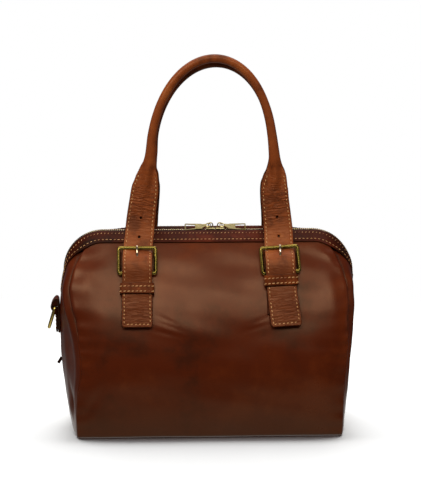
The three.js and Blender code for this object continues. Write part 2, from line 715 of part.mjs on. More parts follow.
// Ring tab: up the end, round in a loose loop for the ring, and back down.
function ringTab({ name, way }) {
  const onEnd = (height, off) => new THREE.Vector2(endReach(name, 0, height) + off, height);
  const inner = GAP + 0.4 + TAB_THICK / 2;
  const outer = inner + TAB_THICK + GAP;
  const middle = inner + TAB_LOOP;
  const start = tabStart(name);
  const line = [
    ...[TAB_FOOT, 118, 126, 134].map((height) => onEnd(height, inner)),
    ...steps(Math.PI, 0, 6).map((a) =>
      new THREE.Vector2(start + middle + TAB_LOOP * Math.cos(a), TAB_TOP + TAB_LOOP * Math.sin(a))),
    new THREE.Vector2(start + middle + TAB_LOOP, 141.3),
    new THREE.Vector2(start + middle + 2.4, 135.8),
    ...[131, 125, 118, TAB_FOOT + 1].map((height) => onEnd(height, outer)),
  ];
  const made = new THREE.ExtrudeGeometry(doubled(line, TAB_THICK), { depth: 2 * TAB_HALF, bevelEnabled: false });
  made.applyMatrix4(new THREE.Matrix4().makeBasis(V(way, 0, 0), V(0, 0, 1), V(0, -way, 0)));
  return made.translate(0, way * TAB_HALF, 0);
}

// D-ring: a straight bar and a bow, hung from its bar.
function ring() {
  const bow = [
    ...steps(-RING_HALF, RING_HALF, 4).map((y) => V(0, y, 0)),
    ...steps(0, Math.PI, 12).map((a) => {
      const drop = 6 + (RING_DROP - 6) * Math.sin(a);
      return V(0, RING_HALF * Math.cos(a), -drop);
    }),
  ];
  const count = bow.length;
  const rings = bow.map((p, i) => {
    const along = bow[(i + 1) % count].clone().sub(bow[(i + count - 1) % count]).normalize();
    const out = along.clone().cross(V(1, 0, 0));
    return steps(0, 2 * Math.PI, 8).slice(1).map((a) => p.clone()
      .addScaledVector(out, RING_WIRE * Math.sin(a)).add(V(RING_WIRE * Math.cos(a), 0, 0)));
  });
  const triangles = [];
  const sides = rings[0].length;
  for (let i = 0; i < count; i += 1) {
    for (let j = 0; j < sides; j += 1) {
      const [a, b] = [i * sides + j, i * sides + ((j + 1) % sides)];
      const [c, d] = [((i + 1) % count) * sides + j, ((i + 1) % count) * sides + ((j + 1) % sides)];
      triangles.push([a, b, d], [a, d, c]);
    }
  }
  return closed(rings.flat(), triangles);
}

for (const { name, side } of SIDES) {
  piece(`${name}_panel`, face(side), LEATHER);
  piece(`${name}_zip_strip`, zipStrip(side), LEATHER);
  const tape = [[TEETH_HALF + GAP, -0.2], [7, -2.6], [10.5, -3.8], [10.5, -4.5], [7, -3.3], [TEETH_HALF + GAP, -0.9]];
  piece(`${name}_zip_tape`, alongZip(tape.map(([across, level]) => [side * across, level])), TAPE);
}
piece('base_panel', base(), DARK_LEATHER);
piece('zip_teeth', alongZip([
  [-TEETH_HALF, TEETH_BOTTOM], [TEETH_HALF, TEETH_BOTTOM], [TEETH_HALF, TEETH_TOP], [-TEETH_HALF, TEETH_TOP],
]), BRASS);

for (const end of ENDS) {
  const { name, way } = end;
  piece(`${name}_gusset`, gusset(end), LEATHER);

  const hingeX = SLIDERS_MEET + way * (SLIDER_LENGTH / 2 + 0.2);
  piece(`${name}_zip_slider`, slider(), BRASS).position.set(hingeX, 0, ZIP_HEIGHT);
  const tag = piece(`${name}_zip_pull`, pull(), BRASS);
  const wide = V(0, Math.cos(PULL_TWIST), Math.sin(PULL_TWIST));
  const out = V(way, 0, 0);
  tag.applyMatrix4(new THREE.Matrix4().makeBasis(out, wide, out.clone().cross(wide))
    .setPosition(hingeX, 0, ZIP_HEIGHT + BAIL_LEVEL));

  piece(`${name}_ring_tab`, ringTab(end), LEATHER);
  const hung = piece(`${name}_d_ring`, ring(), BRASS);
  hung.position.set(way * (tabStart(name) + RING_OUT), 0, RING_HEIGHT);
  hung.rotation.y = -way * RING_TILT[name];
}

for (const shape of HANDLES) {
  piece(`${shape.name}_handle`, handle(shape), STRAP_LEATHER);
  for (const { name: end } of ENDS) {
    const x = fittingX(end);
    const name = `${shape.name}_${end}`;
    piece(`${name}_chape`, chape(x, shape.side), DARK_LEATHER);
    const buckle = buckleFrame(x, shape.side);
    piece(`${name}_buckle`, buckle.made, BRASS).applyMatrix4(buckle.frame);
    piece(`${name}_prong`, rod(prongPath(x, shape.side), PRONG_RADIUS, 8), BRASS);
    const band = keeper(end, shape.side);
    piece(`${name}_keeper`, band.made, STRAP_LEATHER).applyMatrix4(band.frame);
  }
}

const tip = new THREE.BoxGeometry(TONGUE.thick, 2 * TONGUE.half, TONGUE.length);
tip.translate(-TONGUE.thick / 2, 0, -TONGUE.length / 2);
const tongue = piece('gusset_tongue', tip, DARK_LEATHER);
tongue.position.set(-endReach('left', TONGUE.y, TONGUE.height) - GAP - 0.5, TONGUE.y, TONGUE.height);
tongue.rotation.y = TONGUE.lift;

export default bag;
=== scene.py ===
"""A leather handbag: burnished faces and ends, a brass zip, rolled handles on buckled straps, and end rings.

Sizes below are in millimetres in the bag's own frame: +Z up, the front faces -Y, the floor is at height 0.
"""

import math

import bpy
import numpy as np
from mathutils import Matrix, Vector


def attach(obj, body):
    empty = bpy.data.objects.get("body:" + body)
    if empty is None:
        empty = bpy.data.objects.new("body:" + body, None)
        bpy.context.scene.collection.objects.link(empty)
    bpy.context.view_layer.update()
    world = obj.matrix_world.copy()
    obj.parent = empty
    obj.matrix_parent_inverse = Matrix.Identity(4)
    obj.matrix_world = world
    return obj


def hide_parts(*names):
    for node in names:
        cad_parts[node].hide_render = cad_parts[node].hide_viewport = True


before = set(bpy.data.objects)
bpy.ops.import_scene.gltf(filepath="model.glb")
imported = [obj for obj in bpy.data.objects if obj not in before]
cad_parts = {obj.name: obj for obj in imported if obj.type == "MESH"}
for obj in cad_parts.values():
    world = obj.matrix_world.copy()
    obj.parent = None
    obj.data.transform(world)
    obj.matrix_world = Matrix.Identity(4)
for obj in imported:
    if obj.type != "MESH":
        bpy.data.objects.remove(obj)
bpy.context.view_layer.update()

bl_info = {
    "name": "Leather handbag",
    "version": (1, 0, 0),
    "blender": (4, 5, 0),
    "location": "3D View > Sidebar > Handbag",
    "description": "Makes a zipped leather handbag with buckled straps, stitch by stitch, and a studio",
    "category": "Object",
}

MM = 0.001
SIDES = (("front", -1), ("back", 1))
ENDS = (("left", -1), ("right", 1))
X_AXIS = np.array([1.0, 0, 0])
Y_AXIS = np.array([0.0, 1, 0])
Z_AXIS = np.array([0.0, 0, 1])

# Leather and clearances
WALL = 2
GAP = 0.3

# Top of the body
ZIP_HEIGHT = 231
CORNER_RADIUS = 46
CORNER_X = 123
CORNER_HEIGHT = ZIP_HEIGHT - CORNER_RADIUS
ZIP_END = 160
PANEL_TOP = 221
SEAM_TOP = 215
SEAM_TOP_X = 143
BASE_LIFT = 0.5
EDGE_FALL = 0.12
EDGE_POWER = 7
FULL_CORNER = 45

# Extra reach of the upper corners by end, and height, width and share of the two bells that shape it
CORNER_PUSH = {-1: 0, 1: 2}
CORNER_BELLS = ((188, 14, 1), (173, 9, 1.6))

# Height, half-depth of the bag along the middle of a face
FACE_PROFILE = np.array([
    (0, 79), (28, 86), (70, 88), (112, 81), (145, 69.5), (176, 53.5), (200, 38.8), (221, 24),
])

# Height, reach of the left and the right seam
SEAM_PROFILE = np.array([
    (0, 153, 152.5), (30, 154, 153.7), (52, 152, 154.3), (75, 148.5, 155.3), (100, 149.5, 157.6),
    (128, 154.3, 160.8), (150, 160.5, 163), (168, 163.2, 162), (186, 160, 158), (204, 152, 151),
    (SEAM_TOP, SEAM_TOP_X, SEAM_TOP_X),
])

# Height, reach of the left and the right end on the middle plane
END_PROFILE = np.array([
    (0, 160.5, 160), (30, 165.8, 163.5), (60, 170.8, 167), (82, 173.3, 168), (103, 174.4, 164.5),
    (120, 174.8, 158.5), (136, 174.8, 157), (160, 173, 162), (174, 171.3, 167.4),
    (CORNER_HEIGHT, CORNER_X + CORNER_RADIUS, CORNER_X + CORNER_RADIUS),
])

# Folds of a face and of an end: place, height, turn in degrees, half-length, half-width, rise
FACE_FOLDS = np.array([
    (124, 203, -28, 26, 11, -1.2), (141, 201, -48, 13, 4.5, 0.8), (-126, 205, 30, 26, 10, -0.9),
    (-141, 178, 78, 26, 9, 1.6), (140, 168, -84, 30, 10, 1.5), (-118, 168, 80, 26, 10, -1.4),
    (10, 190, 8, 60, 16, -1.2), (-40, 128, -12, 46, 13, 1.1), (58, 120, 16, 52, 15, -1.1),
    (-134, 92, 84, 30, 8, -1.6), (128, 60, -70, 36, 14, 1.2), (-60, 52, 10, 70, 18, -1.2),
    (60, 34, -8, 60, 12, 0.9), (-136, 40, 62, 18, 6, -1.4), (-48, 136, -24, 13, 2.2, -0.45),
    (-44, 129, -20, 15, 2.2, -0.5), (-50, 122, -14, 16, 2.4, -0.45), (58, 136, 22, 12, 2.2, -0.4),
    (54, 128, 16, 14, 2.4, -0.4),
])
END_FOLDS = np.array([
    (-60, 40, 62, 18, 4.5, -2.2), (-52, 30, 58, 16, 4, 1.4), (60, 46, -62, 18, 5, -2.0),
    (-40, 96, 84, 30, 8, 1.2), (42, 84, -82, 32, 9, 1.2), (-30, 150, 60, 16, 6, -1.2),
    (32, 148, -62, 16, 6, -1.2),
])

# Height, rise of the ridge beside the left and the right end's seams
RIDGE_PROFILE = np.array([
    (0, 0.4, 0.4), (40, 0.8, 1.6), (90, 1.2, 3.8), (118, 1.8, 6.0), (150, 3.4, 6.6), (175, 3.4, 5.2),
    (185, 2.7, 3.6), (192, 2.2, 1.6), (200, 1.5, 0.8), (214, 0, 0),
])
RIDGE_INSET = 7
RIDGE_WIDTH = 4.5
RIDGE_FADE = (0.72, 0.97)
SEAM_ROLL = 6
LOW_SEAM_ROLL = 1.1
SEAM_ROLL_GROWS = (112, 142)
# Width of the darkening along a seam and heights over which it grows: a dark joint, and painted shade in the
# deepening groove
SEAM_MARK = 2.2
SEAM_MARK_GROWS = (100, 140)
FOOT_ROLL = 1.2
# Heights over which the painted shade of the foot fades out
FOOT_SHADE_FADES = (10, 90)
NOTCH = 0.4

# Zip
ZIP_SLOT = 6.5
BAND_END_HALF = 14
BAND_CORNER_HALF = 18
STRIP_THICK = 1.8
STRIP_LAP = 1.8
STRIP_FALL = 1.2
STRIP_LIFT = 0.6
BACK_STRIP_CROWN = 6.2
CROWN_FADES = (80, 125)

# Share of a strip's width, shares of the usual pitch, length and width, and slant of its two rows of thread
STRIP_THREAD = ((0.8, 1, 1.1, 0.75, 0.1), (0.27, 0.9, 0.9, 0.7, 0.9))

# Teeth, sliders and pulls
TEETH_HALF = 2.8
TEETH_TOP = 0.8
TEETH_BOTTOM = -1.6
TOOTH_PITCH = 2.4
SLIDERS_MEET = 9
SLIDER_LENGTH = 10.6
SLIDER_HALF = 5.4
SLIDER_TOP = 2.4
BAIL_RADIUS = 2.6
BAIL_WIRE = 0.7
BAIL_LEVEL = 5.4
PULL_THICK = 1.4
PULL_TWIST = 0.85
PULL_SAG = 0.04
PULL_CRANK = 1.3
PULL_BEVEL = 0.35
EYE_RADIUS = 2.45
EYE_WIRE = 0.58

# Distance across the zip and level above it, round the section of a tape
TAPE_SECTION = np.array([
    (TEETH_HALF + GAP, -0.2), (7, -2.6), (10.5, -3.8), (10.5, -4.5), (7, -3.3), (TEETH_HALF + GAP, -0.9),
])

# Distance from the bail and place across it, round a pull's plate and its window
PULL_PLATE = np.array([
    (5.1, -1.4), (7, -1.8), (11, -3.4), (29.5, -4.4), (30.5, -3.6), (30.5, 4.1), (29.5, 5), (11, 3.4),
    (7, 1.8), (5.1, 1.4),
])
PULL_WINDOW = np.array([
    (18.3, -0.8), (18.3, -1.8), (18.7, -2.6), (28.8, -3.2), (29.2, -2.8), (29.2, 3.3), (28.8, 3.7),
    (18.7, 2.8), (18.3, 1.8), (18.3, 0.8),
])

# Straps and their fittings: foot on the face, distance off it
HEEL = (185.6, 4)
TOP_BAR = (209.3, 10.6)
FRAME_WIDTH = 46.8
FRAME_BAR = 3
FRAME_FACE = 4.4
FRAME_RIDGE = 1.35
FRAME_CORNER = 2.2
FRAME_TURN = {"front_right": 0.07}
KEEPER_FEET = {2: (163, 175), 3: (170.3, 182.3)}
KEEPER_LENGTH = 12.5
KEEPER_INSIDE = 18.1
KEEPER_REACH = 3.7
KEEPER_THICK = 1.6
KEEPER_THREAD = (-0.31, 0.17)
KEEPER_THREAD_INSET = 4.5
PRONG_RADIUS = 1.4
PRONG = np.array([(188.2, 5), (195, 6), (199, 9), (200.6, 13), (203, 14.8), (208, 14.9), (211, 13.8)])
STRAP_HALF_THICK = 1.6

# Foot, distance off the face, left and right place, half-width, from the free end up
STRAP_ON_FACE = np.array([
    (128.5, 4.8, -83.6, 87.2, 16.2), (131.5, 4.6, -83.6, 87, 17.7), (150, 4.6, -83.6, 84.9, 17.7),
    (163, 4.7, -83.5, 83.4, 17.6), (170.3, 5.4, -83.5, 82.9, 17.5), (175, 6.2, -83.4, 82.6, 17.5),
    (182.3, 9.0, -83.3, 82.3, 17.4),
    (185.6, 10.4, -83.2, 82.1, 17.4), (191, 12.2, -83.1, 82, 17.4), (196, 12.6, -83, 81.9, 17.4),
    (201, 11.4, -82.9, 81.8, 17.4), (206, 8.6, -82.5, 81.7, 17.3), (210, 6.4, -82.2, 81.6, 17.3),
])

# Height, depth, left and right place, half-width, half-thickness, squareness, up to the rolled grip
STRAP_RISE = np.array([
    (231, 28, -80.2, 81.5, 17, 1.6, 5), (248, 22.5, -78.4, 80.2, 16.7, 1.6, 5),
    (269, 18.5, -75.3, 78.1, 16.3, 1.8, 4.5), (282, 17, -73.4, 77.6, 15.8, 2.7, 4),
    (289, 16.4, -72.2, 78.3, 14.3, 3.4, 3.4), (297, 15.7, -71.1, 78.8, 12.4, 4.1, 3),
    (304, 15.2, -70.3, 78.3, 9.6, 4.6, 2.5), (312, 14.6, -68.4, 77.8, 7.3, 4.9, 2),
])

# Columns of the left and the right place in both tables
LEG_COLUMNS = (2, 3)

# Heights between which the straps sway, and the rolled grips
SWAY_FROM = 212
SWAY_TO = 290
GRIP_RADIUS = 5
GRIP_FOOT = 322
GRIP_SPREAD = 71.6
GRIP_MIDDLE = 2.3
GRIP_FOOT_SHIFT = (2.4, 3)
GRIP_FLARE = 0.24
GRIP_FOOT_DEPTH = 14
GRIP_TOP_DEPTH = 8

# Holes and thread of the straps
HOLE_HEIGHTS = (226.5, 248)
HOLE_RADIUS = 1.35
HOLE_DEPTH = 2.6
THREAD_INSET = 3
THREAD_SINK = 0.9
THREAD_TOP = 297

# Height, spread and share of the bands where the straps are creased: in relief, and in the finish, where the
# creases are painted darker as shade
RELIEF_BANDS = ((264, 17, 1), (147, 13, 0.85))
CREASE_BANDS = ((262, 22, 1), (147, 16, 0.9))

# Name, side, rise, lean and shift of the two grips, and the sway of their straps
HANDLES = (("front", -1, 110, 5.5, 0, (0, 0)), ("back", 1, 104, 5.5, 2.5, (4.5, 1)))

# Ring tabs and rings
TAB_FOOT = 111
TAB_TOP = 148.3
TAB_HALF = 12
TAB_THICK = 2.2
TAB_LOOP = 3.7
TAB_LIFT = 0.7
TAB_THREAD_INSET = 2.6
TAB_THREAD_TOP = 131
RING_HEIGHT = 140.6
RING_OUT = 5.4
RING_WIRE = 2
RING_HALF = 14.6
RING_DROP = 26
RING_TILT = {-1: 0.3, 1: 0.16}
TONGUE_HEIGHT = 77
TONGUE_Y = 2
TONGUE_LEAN = 0.3375
TONGUE_THICK = 3.1
TONGUE_HALF = 3.9

# Distance from the end and height above the ring's bar: a tab's fold, and the leather packed into it
TAB_FOLD = np.array([
    (1.9, 6.9), (2.6, 9.5), (4, 10.3), (5.8, 9), (8.2, 5.6), (9.6, 1.4), (9.2, -1.8), (7.4, -4.6),
])
TAB_PACKING = (
    np.array([(2.6, 2.6), (8.4, 2.6), (7.6, 5.4), (6, 7.9), (4.3, 9.2), (2.9, 7.5), (2.5, 5)]),
    np.array([(2.6, -2.6), (2.6, -5), (2.8, -8.8), (4.2, -8.4), (6.4, -4.9), (7.4, -3.8), (8.2, -2.6)]),
)

# Half sizes in metres of the ground that the base covers
BASE_HALF = (0.15, 0.075, 0)

# Reach of the floor from its middle in metres, and its cells from side to side
FLOOR_REACH = 3
FLOOR_CELLS = 24
FLOOR_LEVEL = -0.0006

# Name, place, target, width and height in metres, power setting and reach of the lights
BAG_MIDDLE = (0, 0, 0.17)
SOFT_BOXES = (
    ("key", (-0.3, -1.34, 1.52), BAG_MIDDLE, 2.6, 0.57, "key", "bag"),
    ("top", (0, 0.95, 2.6), (0, 0.5, 0), 3.2, 2.6, "top", "bag"),
    ("left", (-1.9, -0.5, 0.9), BAG_MIDDLE, 0.9, 1.2, "side", "bag"),
    ("right", (1.9, -0.5, 0.9), BAG_MIDDLE, 0.9, 1.2, "side", "bag"),
    ("wash", (0, 1.5, 2.6), (0, 1.5, 0), 3.2, 2.8, "wash", "floor"),
)

# The photograph's view
IMAGE = (421, 500)
CAMERA_AZIMUTH = -2.5
CAMERA_ELEVATION = 8
CAMERA_DISTANCE = 2000
CAMERA_TARGET = (0, 0, 225)
TARGET_PIXEL = (207.5, 234.5)
FOCAL_PIXELS = 1694.9


# Settings

def colour(label, text, default):
    return bpy.props.FloatVectorProperty(
        name=label, description=text, subtype="COLOR", size=4, min=0, max=1, default=(*default, 1))


def number(label, text, default, low=0, **kind):
    return bpy.props.FloatProperty(name=label, description=text, default=default, min=low, **kind)


class HandbagLeather(bpy.types.PropertyGroup):
    """Colours and finish of the leather."""

    body: colour("Body", "Main brown of the faces and ends", (0.095, 0.0120, 0.0022))
    body_warm: colour("Body, warm", "Brown of the lighter, warmer patches", (0.140, 0.0220, 0.0042))
    body_dark: colour("Body, dark", "Brown of the darker, burnished patches", (0.050, 0.0068, 0.0016))
    # Painted shade: the darker tone the leather turns to towards the foot
    shade_tone: colour("Scuffed foot", "Dull brown of the lower part", (0.058, 0.0125, 0.004))
    strap: colour("Straps", "Main brown of the straps and handles", (0.270, 0.056, 0.0110))
    strap_warm: colour("Straps, warm", "Brown of the lighter patches of the straps", (0.350, 0.084, 0.0170))
    strap_dark: colour("Straps, dark", "Brown of the darker patches of the straps", (0.130, 0.024, 0.0050))
    wax: colour("Wax", "Tint of the shine", (1.0, 0.62, 0.35))
    edge: colour("Edges", "Paint on the cut edges", (0.020, 0.0055, 0.0025))
    roughness: number("Roughness", "Roughness of the waxed surface", 0.32, max=1, subtype="FACTOR")
    grain: number("Grain", "Size of a grain cell", 0.0009, 0.0002, unit="LENGTH")


class HandbagMetal(bpy.types.PropertyGroup):
    """Colours of the brass fittings and the zip."""

    brass: colour("Brass", "Rubbed brass of the fittings", (0.25, 0.175, 0.034))
    tarnish: colour("Tarnish", "Dull brass in the hollows", (0.13, 0.088, 0.015))
    ring: colour("Ring brass", "Brighter brass of the end rings", (0.52, 0.39, 0.10))
    zip: colour("Zip brass", "Greyer brass of the sliders and pulls", (0.60, 0.49, 0.23))
    pin: colour("Pins", "Pale brass of the prongs and teeth", (0.72, 0.54, 0.36))
    tape: colour("Tape", "Cloth of the zip", (0.040, 0.022, 0.013))


class HandbagThread(bpy.types.PropertyGroup):
    """Size and colour of the stitches."""

    thread: colour("Thread", "Colour of the thread", (0.74, 0.37, 0.125))
    pitch: number("Pitch", "From one stitch to the next", 0.0046, 0.001, unit="LENGTH")
    length: number("Length", "Length of a stitch", 0.0023, 0.0005, unit="LENGTH")
    width: number("Width", "Width of a stitch", 0.0011, 0.0002, unit="LENGTH")


class HandbagStudio(bpy.types.PropertyGroup):
    """Floor and lights."""

    floor: colour("Floor", "Colour of the floor", (0.93, 0.93, 0.915))
    key: number("Key", "Power of the soft box above the front", 30, unit="POWER")
    top: number("Top", "Power of the wide light overhead", 60, unit="POWER")
    side: number("Side", "Power of each light at the sides", 1.2, unit="POWER")
    wash: number("Wash", "Power of the light from behind, on the floor alone", 225, unit="POWER")


# Curves and surfaces

def curve(table, column):
    """A smooth curve against the first column: cubic Hermite pieces, their slopes the neighbours' chords."""
    at, value = table[:, 0].astype(float), table[:, column].astype(float)
    low = np.maximum(np.arange(len(at)) - 1, 0)
    high = np.minimum(np.arange(len(at)) + 1, len(at) - 1)
    slope = (value[high] - value[low]) / (at[high] - at[low])

    def evaluate(place):
        i = np.clip(np.searchsorted(at, place) - 1, 0, len(at) - 2)
        span = at[i + 1] - at[i]
        t = np.clip((place - at[i]) / span, 0, 1)
        rest = 1 - t
        return ((1 + 2 * t) * rest**2 * value[i] + t * rest**2 * span * slope[i]
                + t**2 * (3 - 2 * t) * value[i + 1] - t**2 * rest * span * slope[i + 1])
    return evaluate


def chords(path):
    """Length walked along a path, at each of its points."""
    return np.r_[0, np.cumsum(np.linalg.norm(np.diff(path, axis=0), axis=1))]


def spline(points):
    """A smooth path through points, against the chord length walked along them; returns it and its length."""
    points = np.asarray(points, float)
    walked = chords(points[:, :3])
    table = np.column_stack([walked, points])
    columns = [curve(table, k) for k in range(1, table.shape[1])]
    return (lambda s: np.stack([c(s) for c in columns], -1)), walked[-1]


def unit(v):
    return v / np.linalg.norm(v, axis=-1, keepdims=True)


def smooth(value, low, high):
    t = np.clip((value - low) / (high - low), 0, 1)
    return t * t * (3 - 2 * t)


def lerp(a, b, t):
    return a + (b - a) * t


def powered(wave, power):
    """A wave raised to a power, its sign kept: below 1 it squares a round section, above 1 it ridges it."""
    return np.sign(wave) * np.abs(wave)**power


def vectors(x, y, z):
    return np.stack(np.broadcast_arrays(x, y, z), -1).astype(float)


def around(count):
    """Angles of evenly spaced points round a circle."""
    return np.linspace(0, 2 * np.pi, count, endpoint=False)


def turned(a, b, angle):
    """Two directions, or places along them, turned by an angle from the first towards the second."""
    c, s = np.cos(angle), np.sin(angle)
    return a * c + b * s, b * c - a * s


def placed(local, origin, *axes):
    """Points from their places along two or three directions at an origin."""
    for k, axis in enumerate(axes):
        origin = origin + local[..., k:k + 1] * axis
    return origin


def eased(count):
    """Places from -1 to 1 that crowd towards both ends."""
    s = np.linspace(-1, 1, count)
    return s * (1.5 - 0.5 * s * s)


MIDDLE_DEPTH = curve(FACE_PROFILE, 1)
SEAM_REACH = {-1: curve(SEAM_PROFILE, 1), 1: curve(SEAM_PROFILE, 2)}
END_REACH = {-1: curve(END_PROFILE, 1), 1: curve(END_PROFILE, 2)}
SEAM_RIDGE = {-1: curve(RIDGE_PROFILE, 1), 1: curve(RIDGE_PROFILE, 2)}


def edge_fall(height):
    """Share of the half-depth that a face loses at its seams: little at its full lower corners."""
    return EDGE_FALL * lerp(0.25, 1, smooth(height, 0, FULL_CORNER))


def seam_reach(x, height):
    return np.where(x < 0, SEAM_REACH[-1](height), SEAM_REACH[1](height))


def face_depth(x, height):
    """Half-depth of a face: its middle's, less a share that grows with a power of the way to the seam."""
    share = np.minimum(1, np.abs(x) / seam_reach(x, height))
    return MIDDLE_DEPTH(height) * (1 - edge_fall(height) * share**EDGE_POWER)


def seam_depth(height):
    return MIDDLE_DEPTH(height) * (1 - edge_fall(height))


def bells(height, table):
    """The sum of bells over the height, each with its own height, spread and share."""
    return sum(share * np.exp(-((height - at) / spread)**2) for at, spread, share in table)


def corner_push(way, height):
    """How much squarer an upper corner is than its quarter circle: bells at the corner's foot and below."""
    return CORNER_PUSH[way] * bells(height, CORNER_BELLS)


def end_reach(way, y, height):
    """Reach of an end: a parabola from seam to seam, over the middle's profile and the rounded corner."""
    over = height - CORNER_HEIGHT
    corner = CORNER_X + np.sqrt(np.maximum(0, CORNER_RADIUS**2 - over**2))
    middle = np.where(over > 0, corner, END_REACH[way](height)) + corner_push(way, height)
    seam = SEAM_REACH[way](height)
    return seam + (middle - seam) * (1 - np.minimum(1, np.abs(y) / seam_depth(height))**2)


def face_top(x):
    """Upper edge of a face: level, then a quarter circle beside the zip band."""
    over = np.maximum(0, np.abs(x) - CORNER_X)
    radius = CORNER_RADIUS - (ZIP_HEIGHT - PANEL_TOP)
    return CORNER_HEIGHT + np.sqrt(radius**2 - over**2)


def inward(p):
    """From the wall's outside to its inside: across faces, along ends, and down where the top leans in."""
    x, y, z = p[..., 0], p[..., 1], p[..., 2]
    end_share = np.minimum(1, np.abs(x) / seam_reach(x, z))**6
    face_share = np.minimum(1, np.abs(y) / seam_depth(z))**3
    lean = 0.7 * smooth(z, 130, PANEL_TOP)
    return WALL * vectors(-np.sign(x) * end_share, -np.sign(y) * face_share * np.cos(lean),
                          -np.sin(lean) * np.maximum(face_share, 0.3))


def off_face(x, foot, off, side):
    """The point a distance off a face, square to it, from its foot at a place and height on the face."""
    slope = (MIDDLE_DEPTH(foot + 1) - MIDDLE_DEPTH(foot - 1)) / 2
    lean = np.hypot(1, slope)
    return vectors(x, side * (face_depth(x, foot) + off / lean), foot - off * slope / lean)


def normals(grid, axis, way):
    """Normals of a grid of points, the cross product of its two gradients, turned one way along an axis."""
    out = unit(np.cross(np.gradient(grid, axis=0), np.gradient(grid, axis=1)))
    return out * np.sign(out[..., axis:axis + 1] * way)


def folds(a, b, table):
    """Soft furrows and ridges: each is its rise times a bell along its line and a bell across it."""
    place, height, turn, long, wide, rise = table.T
    da, db = a[..., None] - place, b[..., None] - height
    along, across = turned(da, db, np.radians(turn))
    return (rise * np.exp(-(along / long)**2 - (across / wide)**2)).sum(-1)


def rolled(distance, radius):
    """How far a rounded edge has dropped, as a quarter circle, at a distance from the edge."""
    rest = np.clip(radius - distance, 0, radius)
    return radius - np.sqrt(radius**2 - rest**2)


def seam_roll(distance, height):
    """The rolled edge beside a seam: deep in its upper part, slight in its lower."""
    deep = smooth(height, *SEAM_ROLL_GROWS)
    return lerp(rolled(distance, LOW_SEAM_ROLL), rolled(distance, SEAM_ROLL), deep)


def swell(a, b):
    """Slow hills of slack leather: products of sines of unlike lengths."""
    broad = 0.55 * np.sin(a / 29 + 1.3) * np.sin(b / 23 + 0.4)
    middling = 0.35 * np.sin(a / 13 - 0.7 + b / 31) * np.sin(b / 17)
    small = 0.16 * np.sin(a / 7.1 + b / 9.3) * np.sin(a / 11 - b / 6.4)
    return broad + middling + small


# Skins

def ring_faces(stations, points, closed=False):
    """Quads between neighbouring rings of points, and strips of quads over both end rings of an open row."""
    i = np.arange(stations if closed else stations - 1)[:, None]
    j = np.arange(points)[None, :]
    ahead, right = (i + 1) % stations, (j + 1) % points
    quads = np.stack(np.broadcast_arrays(
        i * points + j, i * points + right, ahead * points + right, ahead * points + j), -1).reshape(-1, 4)
    if closed:
        return quads
    k = np.arange(points // 2 - 1)
    cap = np.stack([k, k + 1, points - 2 - k, points - 1 - k], -1)
    return np.concatenate([quads, cap[:, ::-1], cap + (stations - 1) * points])


def outwards(points, faces):
    """Faces turned so that the volume they enclose is positive."""
    a, b, c, d = (points[faces[:, k]] for k in range(4))
    volume = np.einsum("ij,ij->", a, np.cross(b, c)) + np.einsum("ij,ij->", a, np.cross(c, d))
    return faces if volume > 0 else faces[:, ::-1]


def skin(rings, closed=False):
    """A closed skin through rings of points: the points in one list, and its faces turned outwards."""
    points = rings.reshape(-1, 3)
    return points, outwards(points, ring_faces(rings.shape[0], rings.shape[1], closed))


def joined(skins):
    """Several skins as one."""
    starts = np.cumsum([0] + [len(points) for points, _ in skins])[:-1]
    return (np.concatenate([points for points, _ in skins]),
            np.concatenate([faces + start for (_, faces), start in zip(skins, starts)]))


def sheet(outside, inside, bulge=0.3):
    """Rings up the outside and down the inside of a sheet, with rims that swell between the two."""
    def rim(edge, behind, far):
        away = unit(edge - behind) * np.linalg.norm(far - edge, axis=-1, keepdims=True) * bulge
        return lerp(edge, far, 0.25) + away, lerp(edge, far, 0.75) + away
    low = rim(outside[:, :1], outside[:, 1:2], inside[:, :1])
    high = rim(outside[:, -1:], outside[:, -2:-1], inside[:, -1:])
    return np.concatenate([low[0], outside, *high, inside[:, ::-1], low[1]], axis=1)


def tube(path, radius, sides, across, closed=False):
    """Rings round a path: circles in the plane of a fixed direction and the one square to it and the path."""
    step = np.roll(path, -1, 0) - np.roll(path, 1, 0) if closed else np.gradient(path, axis=0)
    along = unit(step)
    across = unit(np.broadcast_to(across, path.shape) - along * np.sum(along * across, -1, keepdims=True))
    out = np.cross(along, across)
    a = around(sides)[None, :, None]
    radius = np.broadcast_to(radius, len(path))[:, None, None]
    return path[:, None] + radius * (np.cos(a) * across[:, None] + np.sin(a) * out[:, None])


def folded_strip(line, thick, half, count=40, round_off=0.7):
    """A strip of leather bent along a line and carried sideways: the line offset by half a thickness to both
    sides, thinning in a quarter circle towards the cut edges. Returns rings of (line, line, sideways)."""
    path, length = spline(line)
    middle = path(np.linspace(0, length, count))
    along = unit(np.gradient(middle, axis=0))
    away = np.stack([-along[:, 1], along[:, 0]], -1)
    side = half * powered(eased(25), 0.8)
    drop = np.clip((np.abs(side) - half + round_off) / round_off, 0, 1)
    thin = (thick / 2 * (0.45 + 0.55 * np.sqrt(1 - drop**2)))[:, None, None]
    ring = np.concatenate([middle + away * thin, (middle - away * thin)[:, ::-1]], axis=1)
    return np.concatenate([ring, np.broadcast_to(side[:, None, None], (*ring.shape[:2], 1))], -1)


def copies(shape, faces, places, a, b, c):
    """One shape set at many places, each with its own three directions."""
    points = placed(shape[None], places[:, None], a[:, None], b[:, None], c[:, None])
    starts = np.arange(len(places))[:, None, None] * len(shape)
    return points.reshape(-1, 3), (faces[None] + starts).reshape(-1, 4)


def linked(name, data):
    """A new object in the scene."""
    made = bpy.data.objects.new(name, data)
    bpy.context.scene.collection.objects.link(made)
    return made


